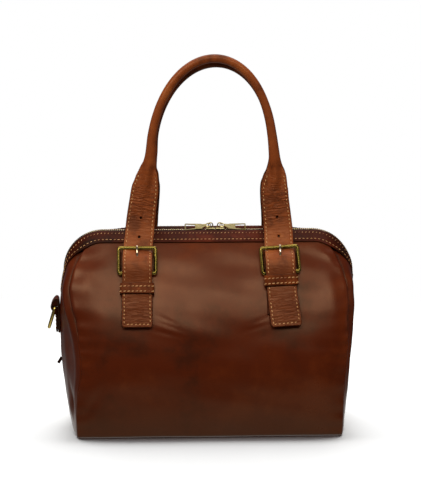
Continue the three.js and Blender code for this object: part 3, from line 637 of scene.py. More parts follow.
def piece(name, points, faces, material, slot, body="bag", stands_for=(), marks=None, uv=None, sharp=None):
    """Puts a skin into a mesh, with its marks as point attributes, and ties it to the bag's frame."""
    mesh = bpy.data.meshes.new(name)
    mesh.vertices.add(len(points))
    mesh.vertices.foreach_set("co", (points * MM).astype(np.float32).ravel())
    mesh.loops.add(faces.size)
    mesh.loops.foreach_set("vertex_index", faces.astype(np.int32).ravel())
    mesh.polygons.add(len(faces))
    mesh.polygons.foreach_set("loop_start", np.arange(0, faces.size, 4, dtype=np.int32))
    mesh.polygons.foreach_set("use_smooth", np.ones(len(faces), bool))
    mesh.update(calc_edges=True)
    if mesh.validate():
        raise RuntimeError(f"{name}: the skin has faces that don't hold together")
    for label, values in (marks or {}).items():
        attribute = mesh.attributes.new(label, "FLOAT", "POINT")
        attribute.data.foreach_set("value", values.astype(np.float32).ravel())
    if uv is not None:
        corners = uv.reshape(-1, 2)[faces].astype(np.float32)
        mesh.uv_layers.new(name="Along").data.foreach_set("uv", corners.ravel())
    if sharp:
        mesh.set_sharp_from_angle(angle=math.radians(sharp))
    mesh.materials.append(material)
    made = linked(name, mesh)
    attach(made, body)
    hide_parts(*stands_for)


# Materials

def feed(tree, made, inputs):
    """Links a node's inputs to the sockets given, and sets the others to the values given."""
    for name, value in inputs.items():
        if isinstance(value, bpy.types.NodeSocket):
            tree.links.new(value, made.inputs[name])
        else:
            made.inputs[name].default_value = value


def node(tree, kind, inputs=None, **settings):
    made = tree.nodes.new(kind)
    for name, value in settings.items():
        setattr(made, name, value)
    feed(tree, made, inputs or {})
    return made


def maths(tree, operation, *values):
    return node(tree, "ShaderNodeMath", dict(enumerate(values)), operation=operation).outputs[0]


def ramp(tree, value, low, high, start=0.0, end=1.0):
    return node(tree, "ShaderNodeMapRange", {0: value, 1: low, 2: high, 3: start, 4: end},
                interpolation_type="SMOOTHSTEP").outputs[0]


def mix(tree, share, a, b, blend="MIX"):
    return node(tree, "ShaderNodeMix", {0: share, 6: a, 7: b}, data_type="RGBA", blend_type=blend).outputs[2]


def noise(tree, place, scale, detail, **more):
    return node(tree, "ShaderNodeTexNoise", {
        "Vector": place, "Scale": scale, "Detail": detail, **more}).outputs["Fac"]


def own_place(tree):
    """Place on a piece, in metres in the bag's frame."""
    return node(tree, "ShaderNodeTexCoord").outputs["Object"]


def group(name, inputs, outputs):
    """A new shader node group: its tree, its inputs and the node that takes its outputs."""
    tree = bpy.data.node_groups.new(name, "ShaderNodeTree")
    for label, kind in inputs.items():
        tree.interface.new_socket(label, in_out="INPUT", socket_type=f"NodeSocket{kind}")
    for label, kind in outputs.items():
        tree.interface.new_socket(label, in_out="OUTPUT", socket_type=f"NodeSocket{kind}")
    return tree, tree.nodes.new("NodeGroupInput").outputs, tree.nodes.new("NodeGroupOutput").inputs


def use(tree, made, **inputs):
    return node(tree, "ShaderNodeGroup", inputs, node_tree=made).outputs


def grain_group():
    """Leather grain: pebbled cells, broken by a finer noise; its height."""
    tree, into, out = group("Leather grain", {"Place": "Vector", "Cells": "Float"}, {"Height": "Float"})
    cells = node(
        tree, "ShaderNodeTexVoronoi", {"Vector": into["Place"], "Scale": into["Cells"], "Randomness": 1.0},
        feature="SMOOTH_F1").outputs["Distance"]
    fine = noise(tree, into["Place"], maths(tree, "MULTIPLY", into["Cells"], 2.3), 2.0)
    pebble = maths(tree, "SUBTRACT", 1.0, cells)
    broken = maths(tree, "MULTIPLY", fine, 0.35)
    tree.links.new(maths(tree, "ADD", pebble, broken), out["Height"])
    return tree


def mottle_group():
    """Burnished mottling: two sizes of cloud turn the middle colour dark or warm; its colour and cloud."""
    tree, into, out = group(
        "Burnished mottling",
        {"Place": "Vector", "Clouds": "Float", "Dark": "Color", "Middle": "Color", "Warm": "Color"},
        {"Color": "Color", "Cloud": "Float"})
    broad = noise(tree, into["Place"], into["Clouds"], 3.0, Roughness=0.5)
    small = noise(tree, into["Place"], maths(tree, "MULTIPLY", into["Clouds"], 5.7), 5.0, Roughness=0.6)
    cloud = maths(tree, "ADD", maths(tree, "MULTIPLY", broad, 0.72), maths(tree, "MULTIPLY", small, 0.28))
    dark = mix(tree, ramp(tree, cloud, 0.34, 0.5), into["Dark"], into["Middle"])
    tree.links.new(mix(tree, ramp(tree, cloud, 0.5, 0.66), dark, into["Warm"]), out["Color"])
    tree.links.new(cloud, out["Cloud"])
    return tree


def wear_group():
    """Rubbed or painted edges, and painted shade along seams, in holes and under the zip strips: a mark,
    broken by noise, turns the colour to the edge's; with its mask.
    """
    tree, into, out = group(
        "Edge wear", {"Place": "Vector", "Mark": "Float", "Color": "Color", "Edge": "Color"},
        {"Color": "Color", "Mask": "Float"})
    broken = maths(tree, "MULTIPLY_ADD", noise(tree, into["Place"], 260.0, 3.0), 0.5, -0.25)
    mask = ramp(tree, maths(tree, "ADD", into["Mark"], broken), 0.2, 0.8)
    tree.links.new(mix(tree, mask, into["Color"], into["Edge"]), out["Color"])
    tree.links.new(mask, out["Mask"])
    return tree


def crease_group():
    """Creases across a strap: noise drawn out across it and pressed together along it; its height."""
    tree, into, out = group("Strap creases", {"Along": "Vector", "Amount": "Float"}, {"Height": "Float"})
    drawn = node(tree, "ShaderNodeMapping", {"Vector": into["Along"], "Scale": (36.0, 5.0, 1.0)})
    lines = noise(tree, drawn.outputs[0], 1.0, 3.0, Distortion=0.6)
    ridge = maths(tree, "ABSOLUTE", maths(tree, "SUBTRACT", lines, 0.5))
    shallow = maths(tree, "MULTIPLY", ramp(tree, ridge, 0.0, 0.11, 1.0, 0.0), into["Amount"])
    tree.links.new(maths(tree, "SUBTRACT", 1.0, shallow), out["Height"])
    return tree


def material(name):
    made = bpy.data.materials.new(name)
    made.use_nodes = True
    made.node_tree.nodes.clear()
    tree = made.node_tree
    shader = node(tree, "ShaderNodeBsdfPrincipled")
    node(tree, "ShaderNodeOutputMaterial", {"Surface": shader.outputs[0]})
    return made, tree, shader


def wire(tree, shader, **inputs):
    feed(tree, shader, {name.replace("_", " "): value for name, value in inputs.items()})


def bump(tree, height, strength, distance, below=None):
    inputs = {"Height": height, "Strength": strength, "Distance": distance}
    if below is not None:
        inputs["Normal"] = below
    return node(tree, "ShaderNodeBump", inputs).outputs[0]


def mark(tree, name):
    return node(tree, "ShaderNodeAttribute", attribute_name=name).outputs["Fac"]


def leather(setting, name, tones, shade_tone, clouds, rougher, finer, depth, gloss, creased):
    """Waxed leather: mottled colour, turned to a shade tone as painted shade where it is marked, darkened at
    its marked edges and seams as edge paint and painted shade, darkened in its creases as painted shade,
    rougher where it is dark, with grain."""
    dark, middle, warm = (getattr(setting, tone) for tone in tones)
    edge, roughness = setting.edge, setting.roughness + rougher
    made, tree, shader = material(name)
    place = own_place(tree)
    spots = use(tree, GROUPS["mottle"], Place=place, Clouds=clouds, Dark=dark, Middle=middle, Warm=warm)
    shade = spots["Color"]
    if shade_tone:
        # Painted shade: darker towards the foot of the body, and below the buckles on the straps
        shade = mix(tree, mark(tree, "scuff"), shade, getattr(setting, shade_tone))
    darkened = use(tree, GROUPS["wear"], Place=place, Mark=mark(tree, "edge"), Color=shade, Edge=edge)
    cells = use(tree, GROUPS["grain"], Place=place, Cells=1 / (setting.grain * finer))
    pores = mix(tree, ramp(tree, cells["Height"], 0.35, 0.8, 0.18, 0.0), darkened["Color"], edge)
    normal = bump(tree, cells["Height"], depth, 0.00035)
    if creased:
        along = node(tree, "ShaderNodeUVMap", uv_map="Along").outputs[0]
        lines = use(tree, GROUPS["crease"], Along=along, Amount=mark(tree, "crease"))
        normal = bump(tree, lines["Height"], 0.8, 0.0007, normal)
        # Painted shade in the creases: the colour turns towards the dark tone where they sink
        pores = mix(tree, ramp(tree, lines["Height"], 0.1, 0.9, 0.55, 0.0), pores, dark)
    rough = ramp(tree, spots["Cloud"], 0.3, 0.7, roughness + 0.07, roughness - 0.05)
    wire(tree, shader, Base_Color=pores, Roughness=maths(tree, "MULTIPLY_ADD", darkened["Mask"], 0.12, rough),
         Normal=normal, Specular_IOR_Level=gloss, Specular_Tint=setting.wax)
    return made


def antique_brass(setting, name, bright, dull, roughness):
    """Antique brass: rubbed bright with dull clouds and fine scratches."""
    brass, tarnish = getattr(setting, bright), getattr(setting, dull)
    made, tree, shader = material(name)
    place = own_place(tree)
    spots = use(tree, GROUPS["mottle"], Place=place, Clouds=120.0, Dark=tarnish, Middle=brass, Warm=brass)
    scratched = noise(tree, place, 1500.0, 4.0)
    wire(tree, shader, Base_Color=spots["Color"], Metallic=1.0,
         Roughness=ramp(tree, spots["Cloud"], 0.3, 0.7, roughness, roughness - 0.09),
         Normal=bump(tree, scratched, 0.06, 0.0002))
    return made


def woven(name, dark, light):
    """Woven tape: crossing waves, one thread apart, in two tones of one colour."""
    made, tree, shader = material(name)
    place = own_place(tree)
    waves = [node(tree, "ShaderNodeTexWave", {"Vector": place, "Scale": 420.0, "Distortion": 0.4},
                  bands_direction=way).outputs["Fac"] for way in "XY"]
    weave = maths(tree, "MULTIPLY", *waves)
    wire(tree, shader, Base_Color=mix(tree, weave, dark, light), Roughness=0.9,
         Normal=bump(tree, weave, 0.6, 0.0003))
    return made


def waxed_thread(name, thread, edge):
    """Waxed thread: two plies twisted together, rubbed darker in places."""
    made, tree, shader = material(name)
    place = own_place(tree)
    spots = use(tree, GROUPS["mottle"], Place=place, Clouds=90.0, Dark=edge, Middle=thread, Warm=thread)
    plies = node(tree, "ShaderNodeTexWave", {"Vector": place, "Scale": 900.0, "Distortion": 1.0},
                 bands_direction="DIAGONAL").outputs["Fac"]
    wire(tree, shader, Base_Color=spots["Color"], Roughness=ramp(tree, spots["Cloud"], 0.3, 0.7, 0.7, 0.5),
         Normal=bump(tree, plies, 0.4, 0.0002))
    return made


GROUPS = {}
MATERIALS = {}

# Name, dark, middle and warm tone, painted shade tone, scale of the clouds, added roughness, share of the
# grain's size, depth of the grain, gloss, and whether it has creases
LEATHERS = {
    "body": ("body_leather", ("body_dark", "body", "body_warm"), "shade_tone", 11.0, 0, 1, 0.14, 0.36, False),
    "strip": ("strip_leather", ("edge", "body_dark", "body"), None, 24.0, 0.1, 1, 0.2, 0.04, False),
    "front_strap": (
        "strap_leather", ("strap_dark", "strap", "strap_warm"), "strap_dark", 30.0, 0.06, 0.8, 0.12, 0.36,
        True),
    # The back handle's leather: a darker copy of the strap's, painted shade where the front handle shades it
    "back_strap": (
        "shaded_strap_leather", ("body_dark", "strap_dark", "strap"), "strap_dark", 30.0, 0.08, 0.8, 0.14,
        0.2, True),
    "keeper": (
        "keeper_leather", ("body_dark", "strap_dark", "strap"), None, 46.0, 0.1, 0.8, 0.2, 0.15, False),
    "dark": ("dark_leather", ("edge", "body_dark", "body_dark"), None, 30.0, 0.15, 1, 0.2, 0.1, False),
}

# Name, bright and dull tone, roughness
BRASSES = {
    "brass": ("antique_brass", "brass", "tarnish", 0.26),
    "pin": ("pale_brass", "pin", "zip", 0.26),
    "zip": ("zip_brass", "zip", "brass", 0.42),
    "ring": ("ring_brass", "ring", "brass", 0.26),
}


def make_materials(scene):
    """The node groups once, and every finish of the bag from the settings."""
    hide, metal = scene.handbag_leather, scene.handbag_metal
    GROUPS.update(grain=grain_group(), mottle=mottle_group(), wear=wear_group(), crease=crease_group())
    MATERIALS.update({key: leather(hide, *finish) for key, finish in LEATHERS.items()})
    MATERIALS.update({key: antique_brass(metal, *finish) for key, finish in BRASSES.items()})
    MATERIALS["tape"] = woven("zip_tape", metal.tape, hide.body_dark)
    MATERIALS["thread"] = waxed_thread("waxed_thread", scene.handbag_thread.thread, hide.strap)


# Body

def face_rings(side):
    """A face. Its place across is a share u of the seams' reach, its height a share v of the seam with a
    lifted foot and a rounded head, its depth the bag's; folds, slack and rolled edges then move it along its
    normal."""
    u, v = np.meshgrid(eased(181) * (1 - 0.2 / SEAM_TOP_X), np.linspace(0, 1, 131), indexing="ij")
    level = v * SEAM_TOP
    reach = seam_reach(u, level)
    x = u * reach
    head = (face_top(u * SEAM_TOP_X) - face_top(SEAM_TOP_X)) * v**3
    height = level + BASE_LIFT * (1 - u**4) * (1 - v)**2 + head
    plain = vectors(x, side * face_depth(x, height), height)
    out = normals(plain, 1, side)
    to_seam = (1 - np.abs(u)) * reach
    calm = 1 - smooth(v, 0.93, 1)
    pucker = np.exp(-to_seam / 13) * np.sin(height / 2.9 + 1.6 * np.sin(height / 17)) * 0.5
    rise = (folds(-side * x, height, FACE_FOLDS) + swell(-side * x, height) + pucker) * calm
    rise -= seam_roll(to_seam, height) * (1 - 0.5 * smooth(v, 0.95, 1)) + rolled(level, FOOT_ROLL)
    outside = plain + out * rise[..., None]
    # Darker along the seams: a dark joint, and painted shade in the groove that grows as it deepens; and a
    # painted shadow along the top edge, under the lap of the zip strip
    edge = np.exp(-to_seam / SEAM_MARK) * (0.3 + 0.6 * smooth(height, *SEAM_MARK_GROWS))
    strip_lap_shadow = 0.3 * np.exp(-(SEAM_TOP + head - level) / 3)
    return outside, outside + inward(plain), edge + strip_lap_shadow, foot_shade(height)


def gusset_rings(way):
    """An end. Its place across is a share u of the way to the seams, its height a share v below the notched
    top, its reach that of the end; a ridge beside each seam, folds and rolled edges then move it along its
    normal."""
    u, v = np.meshgrid(eased(151), np.linspace(0, 1, 121), indexing="ij")
    beside = np.maximum(0, (np.abs(u) - NOTCH) / (1 - NOTCH))
    top = lerp(ZIP_END - 2 * GAP, SEAM_TOP, beside)
    top_y = np.where(beside > 0, np.sign(u) * band_half(top), u / NOTCH * BAND_END_HALF)
    height = v * top
    foot, head = seam_depth(0), seam_depth(SEAM_TOP)
    bow = seam_depth(v * SEAM_TOP) - lerp(foot, head, v)
    y = lerp(u * foot, top_y, v) + u**3 * bow - u**9 * GAP
    plain = vectors(way * end_reach(way, y, height), y, height)
    out = normals(plain, 0, way)
    to_seam = np.abs(y[-1:]) - np.abs(y)
    tall = SEAM_RIDGE[way](height) * (1 - smooth(v, *RIDGE_FADE))
    ridge = tall * np.exp(-((to_seam - RIDGE_INSET) / RIDGE_WIDTH)**2)
    rise = (folds(-way * y, height, END_FOLDS) + swell(y + 40, height)) * (1 - smooth(v, 0.9, 1)) + ridge
    rise -= seam_roll(to_seam, height) + rolled(height, FOOT_ROLL)
    outside = plain + out * rise[..., None]
    # Darker along the seams: a dark joint, and painted shade in the groove that grows as it deepens
    edge = np.exp(-np.maximum(to_seam, 0) / SEAM_MARK) * (0.2 + 0.5 * smooth(height, *SEAM_MARK_GROWS))
    return outside, outside + inward(plain), edge, foot_shade(height)


def band_half(height):
    """Half-width of the zip band down an end: two straight lines that meet where the corner starts."""
    low = lerp(BAND_END_HALF, BAND_CORNER_HALF, (height - ZIP_END) / (CORNER_HEIGHT - ZIP_END))
    up = (height - CORNER_HEIGHT) / (SEAM_TOP - CORNER_HEIGHT)
    high = lerp(BAND_CORNER_HALF, seam_depth(SEAM_TOP), up)
    return np.where(height < CORNER_HEIGHT, low, high)


def foot_shade(height):
    """Share of painted shade: most at the foot and in a narrow band along the floor, none above the middle.
    """
    return 0.6 * (1 - smooth(height, *FOOT_SHADE_FADES)) + 0.3 * np.exp(-height / 7)


def sheet_marks(edge, rim=1.0):
    """A sheet's mark carried over its rims and its inside."""
    full = np.full((len(edge), 1), rim)
    return np.concatenate([full, edge, full, full, edge[:, ::-1], full], axis=1)


class HANDBAG_OT_body(bpy.types.Operator):
    """Make the two faces and the two ends, and dress the base"""

    bl_idname = "handbag.body"
    bl_label = "Body"

    def execute(self, context):
        shells = [(f"{name}_face", f"{name}_panel", face_rings(side)) for name, side in SIDES]
        shells += [(f"{name}_end", f"{name}_gusset", gusset_rings(way)) for name, way in ENDS]
        for name, solid, (outside, inside, edge, scuff) in shells:
            piece(name, *skin(sheet(outside, inside)), MATERIALS["body"], "body_leather", stands_for=[solid],
                  marks={"edge": sheet_marks(edge), "scuff": sheet_marks(scuff, 0.0)})
        dress("base_panel", MATERIALS["dark"])
        return {"FINISHED"}


def dress(name, finish):
    """Gives a solid of the frame its finish."""
    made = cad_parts[name]
    made.data.materials.clear()
    made.data.materials.append(finish)


# Zip

def band_end(way):
    """The zip band over one end and corner: the zip's middle, the way out from it, the band's outer edge."""
    def on_end(height):
        y = band_half(height)
        return vectors(way * end_reach(way, y, height), y, height)
    tail = np.linspace(ZIP_END, CORNER_HEIGHT, 22)[:-1]
    angle = np.linspace(0, np.pi / 2, 60)
    step = angle / (np.pi / 2) * 6
    x = way * lerp(SEAM_TOP_X, CORNER_X, np.clip((step - 3) / 3, 0, 1))
    low = on_end(lerp(CORNER_HEIGHT, SEAM_TOP, np.clip(step / 3, 0, 1)))
    high = vectors(x, face_depth(x, face_top(x)), face_top(x))
    out = vectors(way * np.cos(angle), 0, np.sin(angle))
    crest = vectors(way * CORNER_X, 0, CORNER_HEIGHT) + CORNER_RADIUS * out
    crest[:, 0] += way * corner_push(way, crest[:, 2])
    return (np.concatenate([vectors(way * end_reach(way, 0 * tail, tail), 0, tail), crest]),
            np.concatenate([vectors(way + 0 * tail, 0, 0), out]),
            np.concatenate([on_end(tail), np.where(step[:, None] < 3, low, high)]))


def band():
    """The whole zip band, from the left end's foot over the top to the right end's."""
    x = np.linspace(-CORNER_X, CORNER_X, 150)[1:-1]
    edge = vectors(x, face_depth(x, 0 * x + PANEL_TOP), PANEL_TOP)
    middle = (vectors(x, 0, ZIP_HEIGHT), vectors(0 * x, 0, 1), edge)
    left, right = band_end(-1), band_end(1)
    return [np.concatenate([a, b, c[::-1]]) for a, b, c in zip(left, middle, right)]


def strip_at(side, share):
    """Outside and inside of a zip strip at shares of its width: from the zip's slot it falls to the outer
    edge with a power of the share; the back one is crowned, and both lift a little where they lap over the
    wall."""
    crest, out, edge = (a[:, None] for a in band())
    width = edge[..., 1] - ZIP_SLOT
    share = np.asarray(share)[None] * (1 + STRIP_LAP / width)
    p = lerp(crest, edge, share[..., None]**STRIP_FALL)
    p[..., 1] = ZIP_SLOT + width * share
    fade = 1 - 0.8 * smooth(np.abs(crest[..., 0]), *CROWN_FADES)
    crown = BACK_STRIP_CROWN * fade if side > 0 else 0
    p[..., 2] += crown * np.maximum(0, out[..., 2]) * np.sin(np.pi * np.minimum(share, 1))
    away = -unit(inward(edge))
    p = p + away * (STRIP_LIFT * smooth(share, 0.45, 1.0))[..., None]
    deep = lerp(-STRIP_THICK * out, -STRIP_THICK * away, np.minimum(share, 1)[..., None]**2)
    turn = np.array([1, side, 1])
    return p * turn, (p + deep) * turn


def along_zip(section):
    """A bar of one section along the zip: distances across it, and levels above it."""
    crest, out, _ = band()
    return placed(section[None], crest[:, None], Y_AXIS, out[:, None])


def evenly(path, pitch, *others):
    """Places one pitch apart along a path, with other values there."""
    walked = chords(path)
    at = np.arange(pitch / 2, walked[-1], pitch)
    return [np.stack([np.interp(at, walked, column) for column in values.T], -1)
            for values in (path, *others)]


def zip_teeth():
    """Interlocking teeth: a block that narrows at its top, half a pitch apart on alternate sides."""
    crest, out, _ = band()
    at, level = evenly(crest, TOOTH_PITCH / 2, out)
    level = unit(level)
    across = np.broadcast_to(Y_AXIS, at.shape)
    way = np.where(np.arange(len(at)) % 2, 1.0, -1.0)[:, None]
    foot = np.array([(-0.55, -TEETH_HALF), (0.55, -TEETH_HALF), (0.55, 0.7), (-0.55, 0.7)])
    tooth = np.stack([np.column_stack([foot * grow, np.full(4, rise)]) for grow, rise in
                      ((1, TEETH_BOTTOM), (1, TEETH_TOP - 0.45), (0.78, TEETH_TOP))])
    shape, faces = skin(tooth)
    return copies(shape, faces, at, np.cross(across, level) * way, across * way, level)


def zip_slider(x):
    """A slider: rounded sections along the zip, waisted in the middle, with a wire bail over it."""
    s = eased(25)
    half = SLIDER_HALF * (0.86 + 0.14 * s**2) * (1 - 0.18 * smooth(np.abs(s), 0.9, 1))
    tall = (SLIDER_TOP - 0.3) / 2 * (1 - 0.35 * smooth(np.abs(s), 0.85, 1))
    a = around(28) + np.pi / 28
    rings = np.stack(np.broadcast_arrays(
        x + SLIDER_LENGTH / 2 * s[:, None], half[:, None] * powered(np.cos(a), 0.5),
        ZIP_HEIGHT + (SLIDER_TOP + 0.3) / 2 + tall[:, None] * powered(np.sin(a), 0.5)), -1)
    turn = np.linspace(np.pi, 0, 25)
    arch = vectors(BAIL_RADIUS * np.cos(turn), 0, BAIL_LEVEL + BAIL_RADIUS * np.sin(turn))
    foot = SLIDER_TOP - 0.6
    path = np.concatenate([[(-BAIL_RADIUS, 0, foot)], arch, [(BAIL_RADIUS, 0, foot)]])
    bail = tube(path + np.array([x, 0, ZIP_HEIGHT]), BAIL_WIRE, 12, Y_AXIS)
    return joined([skin(rings), skin(bail)])


def zip_pull(way, x):
    """A pull: a bevelled section carried round its window, between the window's outline and the plate's, and
    an eye; behind its eye it is cranked, and it sags, down to the front."""
    corners = np.arange(len(PULL_PLATE) + 1)
    t = np.linspace(0, len(PULL_PLATE), 10 * len(PULL_PLATE), endpoint=False)

    def walked(outline):
        around = np.concatenate([outline, outline[:1]])
        return np.stack([np.interp(t, corners, column) for column in around.T], -1)

    outer, inner = walked(PULL_PLATE), walked(PULL_WINDOW)
    tall, low = PULL_THICK / 2, PULL_THICK / 2 - PULL_BEVEL
    across = unit(outer - inner) * PULL_BEVEL
    rows = ((outer, -low), (outer, low), (outer - across, tall), (inner + across, tall), (inner, low),
            (inner, -low), (inner + across, -tall), (outer - across, -tall))
    loop = np.stack([vectors(row[:, 0], row[:, 1], level) for row, level in rows], axis=1)
    a = around(40)
    circle = vectors(BAIL_RADIUS + EYE_RADIUS * np.cos(a), EYE_RADIUS * np.sin(a), 0)
    eye = tube(circle, EYE_WIRE, 10, Z_AXIS, closed=True)
    points, faces = joined([skin(loop, closed=True), skin(eye, closed=True)])
    wide = np.array([0, math.cos(PULL_TWIST), math.sin(PULL_TWIST)])
    out = way * X_AXIS
    drop = PULL_SAG * np.maximum(0, points[:, :1] - 4) + PULL_CRANK * smooth(points[:, :1], 4.6, 11)
    sag = np.array([0, -0.8, -1]) * drop
    pull = placed(points, 0, out, wide, np.cross(out, wide)) + sag
    return pull + np.array([x, 0, ZIP_HEIGHT + BAIL_LEVEL]), faces


class HANDBAG_OT_zip(bpy.types.Operator):
    """Make the zip: its leather strips, tapes, teeth, sliders and pulls"""

    bl_idname = "handbag.zip"
    bl_label = "Zip"

    def execute(self, context):
        share = np.linspace(0, 1, 26)
        for name, side in SIDES:
            outside, inside = strip_at(side, share)
            edge = 0.4 * np.exp(-(1 - share) / 0.04) + 0.4 * np.exp(-share / 0.06)
            edge = np.broadcast_to(edge, outside.shape[:2])
            piece(f"{name}_strip", *skin(sheet(outside, inside)), MATERIALS["strip"], "body_leather",
                  stands_for=[f"{name}_zip_strip"], marks={"edge": sheet_marks(edge)})
            piece(f"{name}_tape", *skin(along_zip(TAPE_SECTION * (side, 1))), MATERIALS["tape"], "zip_tape",
                  stands_for=[f"{name}_zip_tape"], sharp=40)
        piece("teeth", *zip_teeth(), MATERIALS["pin"], "brass", stands_for=["zip_teeth"], sharp=30)
        for name, way in ENDS:
            x = SLIDERS_MEET + way * (SLIDER_LENGTH / 2 + 0.2)
            piece(f"{name}_slider", *zip_slider(x), MATERIALS["zip"], "brass",
                  stands_for=[f"{name}_zip_slider"], sharp=50)
            piece(f"{name}_pull_tag", *zip_pull(way, x), MATERIALS["zip"], "brass", body=f"{name}_pull",
                  stands_for=[f"{name}_zip_pull"], sharp=30)
        return {"FINISHED"}


# Handles

class HandlePath:
    """A handle's middle line from one free end over the grip to the other, with its section's sizes."""

    def __init__(self, side, rise, lean, shift, sway):
        foot, off, *_ = STRAP_ON_FACE.T
        height, depth, *_ = STRAP_RISE.T
        up = (height - height[0]) / (GRIP_FOOT - height[0])
        t = np.clip((height - SWAY_FROM) / (SWAY_TO - SWAY_FROM), 0, 1)
        wave = np.sin(np.pi * np.sqrt(t))

        def leg(column):
            low = off_face(STRAP_ON_FACE[:, column], foot, off, side)
            size = vectors(STRAP_ON_FACE[:, 4], STRAP_HALF_THICK, 5)
            aside = shift * up + sway[column - 2] * wave
            high = vectors(STRAP_RISE[:, column] + aside, side * depth, height)
            return np.concatenate([np.hstack([low, size]), np.hstack([high, STRAP_RISE[:, 4:7]])])

        angle = np.linspace(np.pi, 0, 17)
        lift = np.sin(angle)
        low = 1 - lift
        stance = np.where(angle > np.pi / 2, GRIP_FOOT_SHIFT[0] * low, GRIP_FOOT_SHIFT[1] * low**6)
        grip = vectors(GRIP_MIDDLE + shift + lean * lift + GRIP_SPREAD * np.cos(angle) + stance,
                       side * lerp(GRIP_FOOT_DEPTH, GRIP_TOP_DEPTH, lift), GRIP_FOOT + rise * lift)
        wide = GRIP_RADIUS * (1 + GRIP_FLARE * low**6)
        grip = np.hstack([grip, vectors(wide, GRIP_RADIUS, 2)])
        left, right = (leg(column) for column in LEG_COLUMNS)
        self.side = side
        self.path, self.length = spline(np.concatenate([left, grip, right[::-1]]))
        _, self.leg_length = spline(left)

    def at_height(self, height, column):
        """Distance along the path at which the left or the right leg has a height."""
        s = np.linspace(0, self.leg_length, 800)
        if column == LEG_COLUMNS[1]:
            s = self.length - s
        return np.interp(height, self.path(s)[:, 2], s)

    def section(self, s):
        """The path's row at distances along it, and the directions across the section and out of it."""
        ahead, behind = self.path(np.minimum(s + 0.4, self.length)), self.path(np.maximum(s - 0.4, 0))
        along = unit(ahead[..., :3] - behind[..., :3])
        wide = unit(np.cross(along, Y_AXIS))
        return self.path(s), wide, np.cross(wide, along)

    def surface(self, s, f, face):
        """Points of the outer (face 1) or inner (face -1) skin at distances s and shares f of the half-width.
        The section is a rounded bar; where strap turns to grip only its middle is thick, its wings bend back,
        and creases, a row for the thread and punched holes press into it."""
        row, wide, out = self.section(s)
        at, half, thick, square = row[..., :3], row[..., 3], row[..., 4], row[..., 5]
        w = half * f
        flat = smooth(half, 6.4, 9.5)
        round_off = np.maximum(0, 1 - np.abs(f)**square)**(1 / square)
        ridge = np.exp(-(w / 4.4)**2)
        tall = lerp(thick, STRAP_HALF_THICK + (thick - STRAP_HALF_THICK) * ridge, flat) * round_off
        bend = -flat * (1.6 * smooth(thick, 1.7, 3.4) * np.exp(-((np.abs(w) - 7.5) / 3.6)**2) + 0.35 * f**2)
        if np.any(face > 0):
            tall = tall + (face > 0) * flat * round_off * self.relief(s, at[..., 2], w, half)
        return at + wide * w[..., None] + out * (self.side * (face * tall + bend))[..., None]

    def relief(self, s, z, w, half):
        """Creases, the sunk row of the thread, and the punched holes, on the outer skin."""
        amount = bells(z, RELIEF_BANDS) + 0.25
        wander = 1.3 * np.sin(w / 5.3 + z / 11) + 0.7 * np.sin(w / 2.7 - z / 7)
        broken = (0.5 + 0.5 * np.sin(z * 0.47 + w * 0.13)) * (0.55 + 0.45 * np.sin(z / 9.7 - w / 8))
        crease = np.sin((z + wander) * 1.93) * broken
        inside = half - np.abs(w) - THREAD_INSET
        sunk = np.exp(-(inside / THREAD_SINK)**2) * (z < THREAD_TOP + 1)
        from_end = np.minimum(s, self.length - s) - THREAD_INSET
        sunk = np.maximum(sunk, np.exp(-(from_end / THREAD_SINK)**2) * (inside > 0))
        return 0.3 * amount * crease - 0.3 * sunk - HOLE_DEPTH * self.holes(z, w)

    def holes(self, z, w):
        """1 inside the punched holes, 0 outside."""
        away = [np.hypot(z - height, w) for height in HOLE_HEIGHTS]
        return sum(1 - smooth(distance, HOLE_RADIUS - 0.3, HOLE_RADIUS + 0.25) for distance in away)

    def skin(self):
        """Rings of the handle, across the outer skin and back across the inner one, with marks and a map."""
        legs = np.arange(0, self.leg_length, 0.75)
        near = [self.at_height(height, column) + np.linspace(-2, 2, 14)
                for column in LEG_COLUMNS for height in HOLE_HEIGHTS]
        grip = np.linspace(self.leg_length, self.length - self.leg_length, 130)
        s = np.unique(np.concatenate([legs, grip, self.length - legs, *near]))
        half = np.array([
            0, .03, .06, .09, .125, .165, .22, .3, .39, .48, .57, .66, .74, .81, .87, .92, .955, .982, 1])
        f = np.concatenate([-half[:0:-1], half])
        across = np.concatenate([f, f[-2:0:-1]])
        face = np.concatenate([np.ones(len(f)), -np.ones(len(f) - 2)])
        s2, f2 = np.meshgrid(s, across, indexing="ij")
        points = self.surface(s2, f2, np.broadcast_to(face, s2.shape))
        row = self.path(s)
        z, width = row[:, 2:3], row[:, 3:4]
        flat = smooth(width, 7, 10)
        shown = (face > 0) * flat
        # Painted cut edges, and painted shade in the punched holes
        edge = smooth(np.abs(f2), 0.955, 0.99) * flat + shown * self.holes(z, f2 * width) * 1.5
        crease = (bells(z, CREASE_BANDS) + 0.2) * flat
        uv = np.stack([s2 * 0.01, f2 * width * 0.01 * np.where(face > 0, 1, -1)], -1)
        # Painted shade: the straps darken below the buckle's top bar
        darkened = 0.75 * (1 - smooth(z, 186, 206))
        everywhere = np.ones_like(f2)
        return points, {"edge": edge, "crease": crease * everywhere, "scuff": darkened * everywhere}, uv

    def thread(self, pitch):
        """Rows of thread: along both edges of each strap from its neck to its free end, and across that."""
        rows = []
        for column in LEG_COLUMNS:
            start = self.at_height(THREAD_TOP, column)
            end = THREAD_INSET if column == LEG_COLUMNS[0] else self.length - THREAD_INSET
            s = np.linspace(start, end, 260)
            half = self.path(s)[:, 3]
            rows += [(s, way * (1 - THREAD_INSET / half)) for way in (-1, 1)]
            inner = 1 - THREAD_INSET / half[-1]
            rows.append((np.full(40, float(end)), np.linspace(-inner, inner, 40)))
        made = []
        for s, f in rows:
            points = self.surface(s, f, np.ones_like(s))
            out = self.section(s)[2]
            made.append(evenly(points, pitch, out * self.side))
        return made


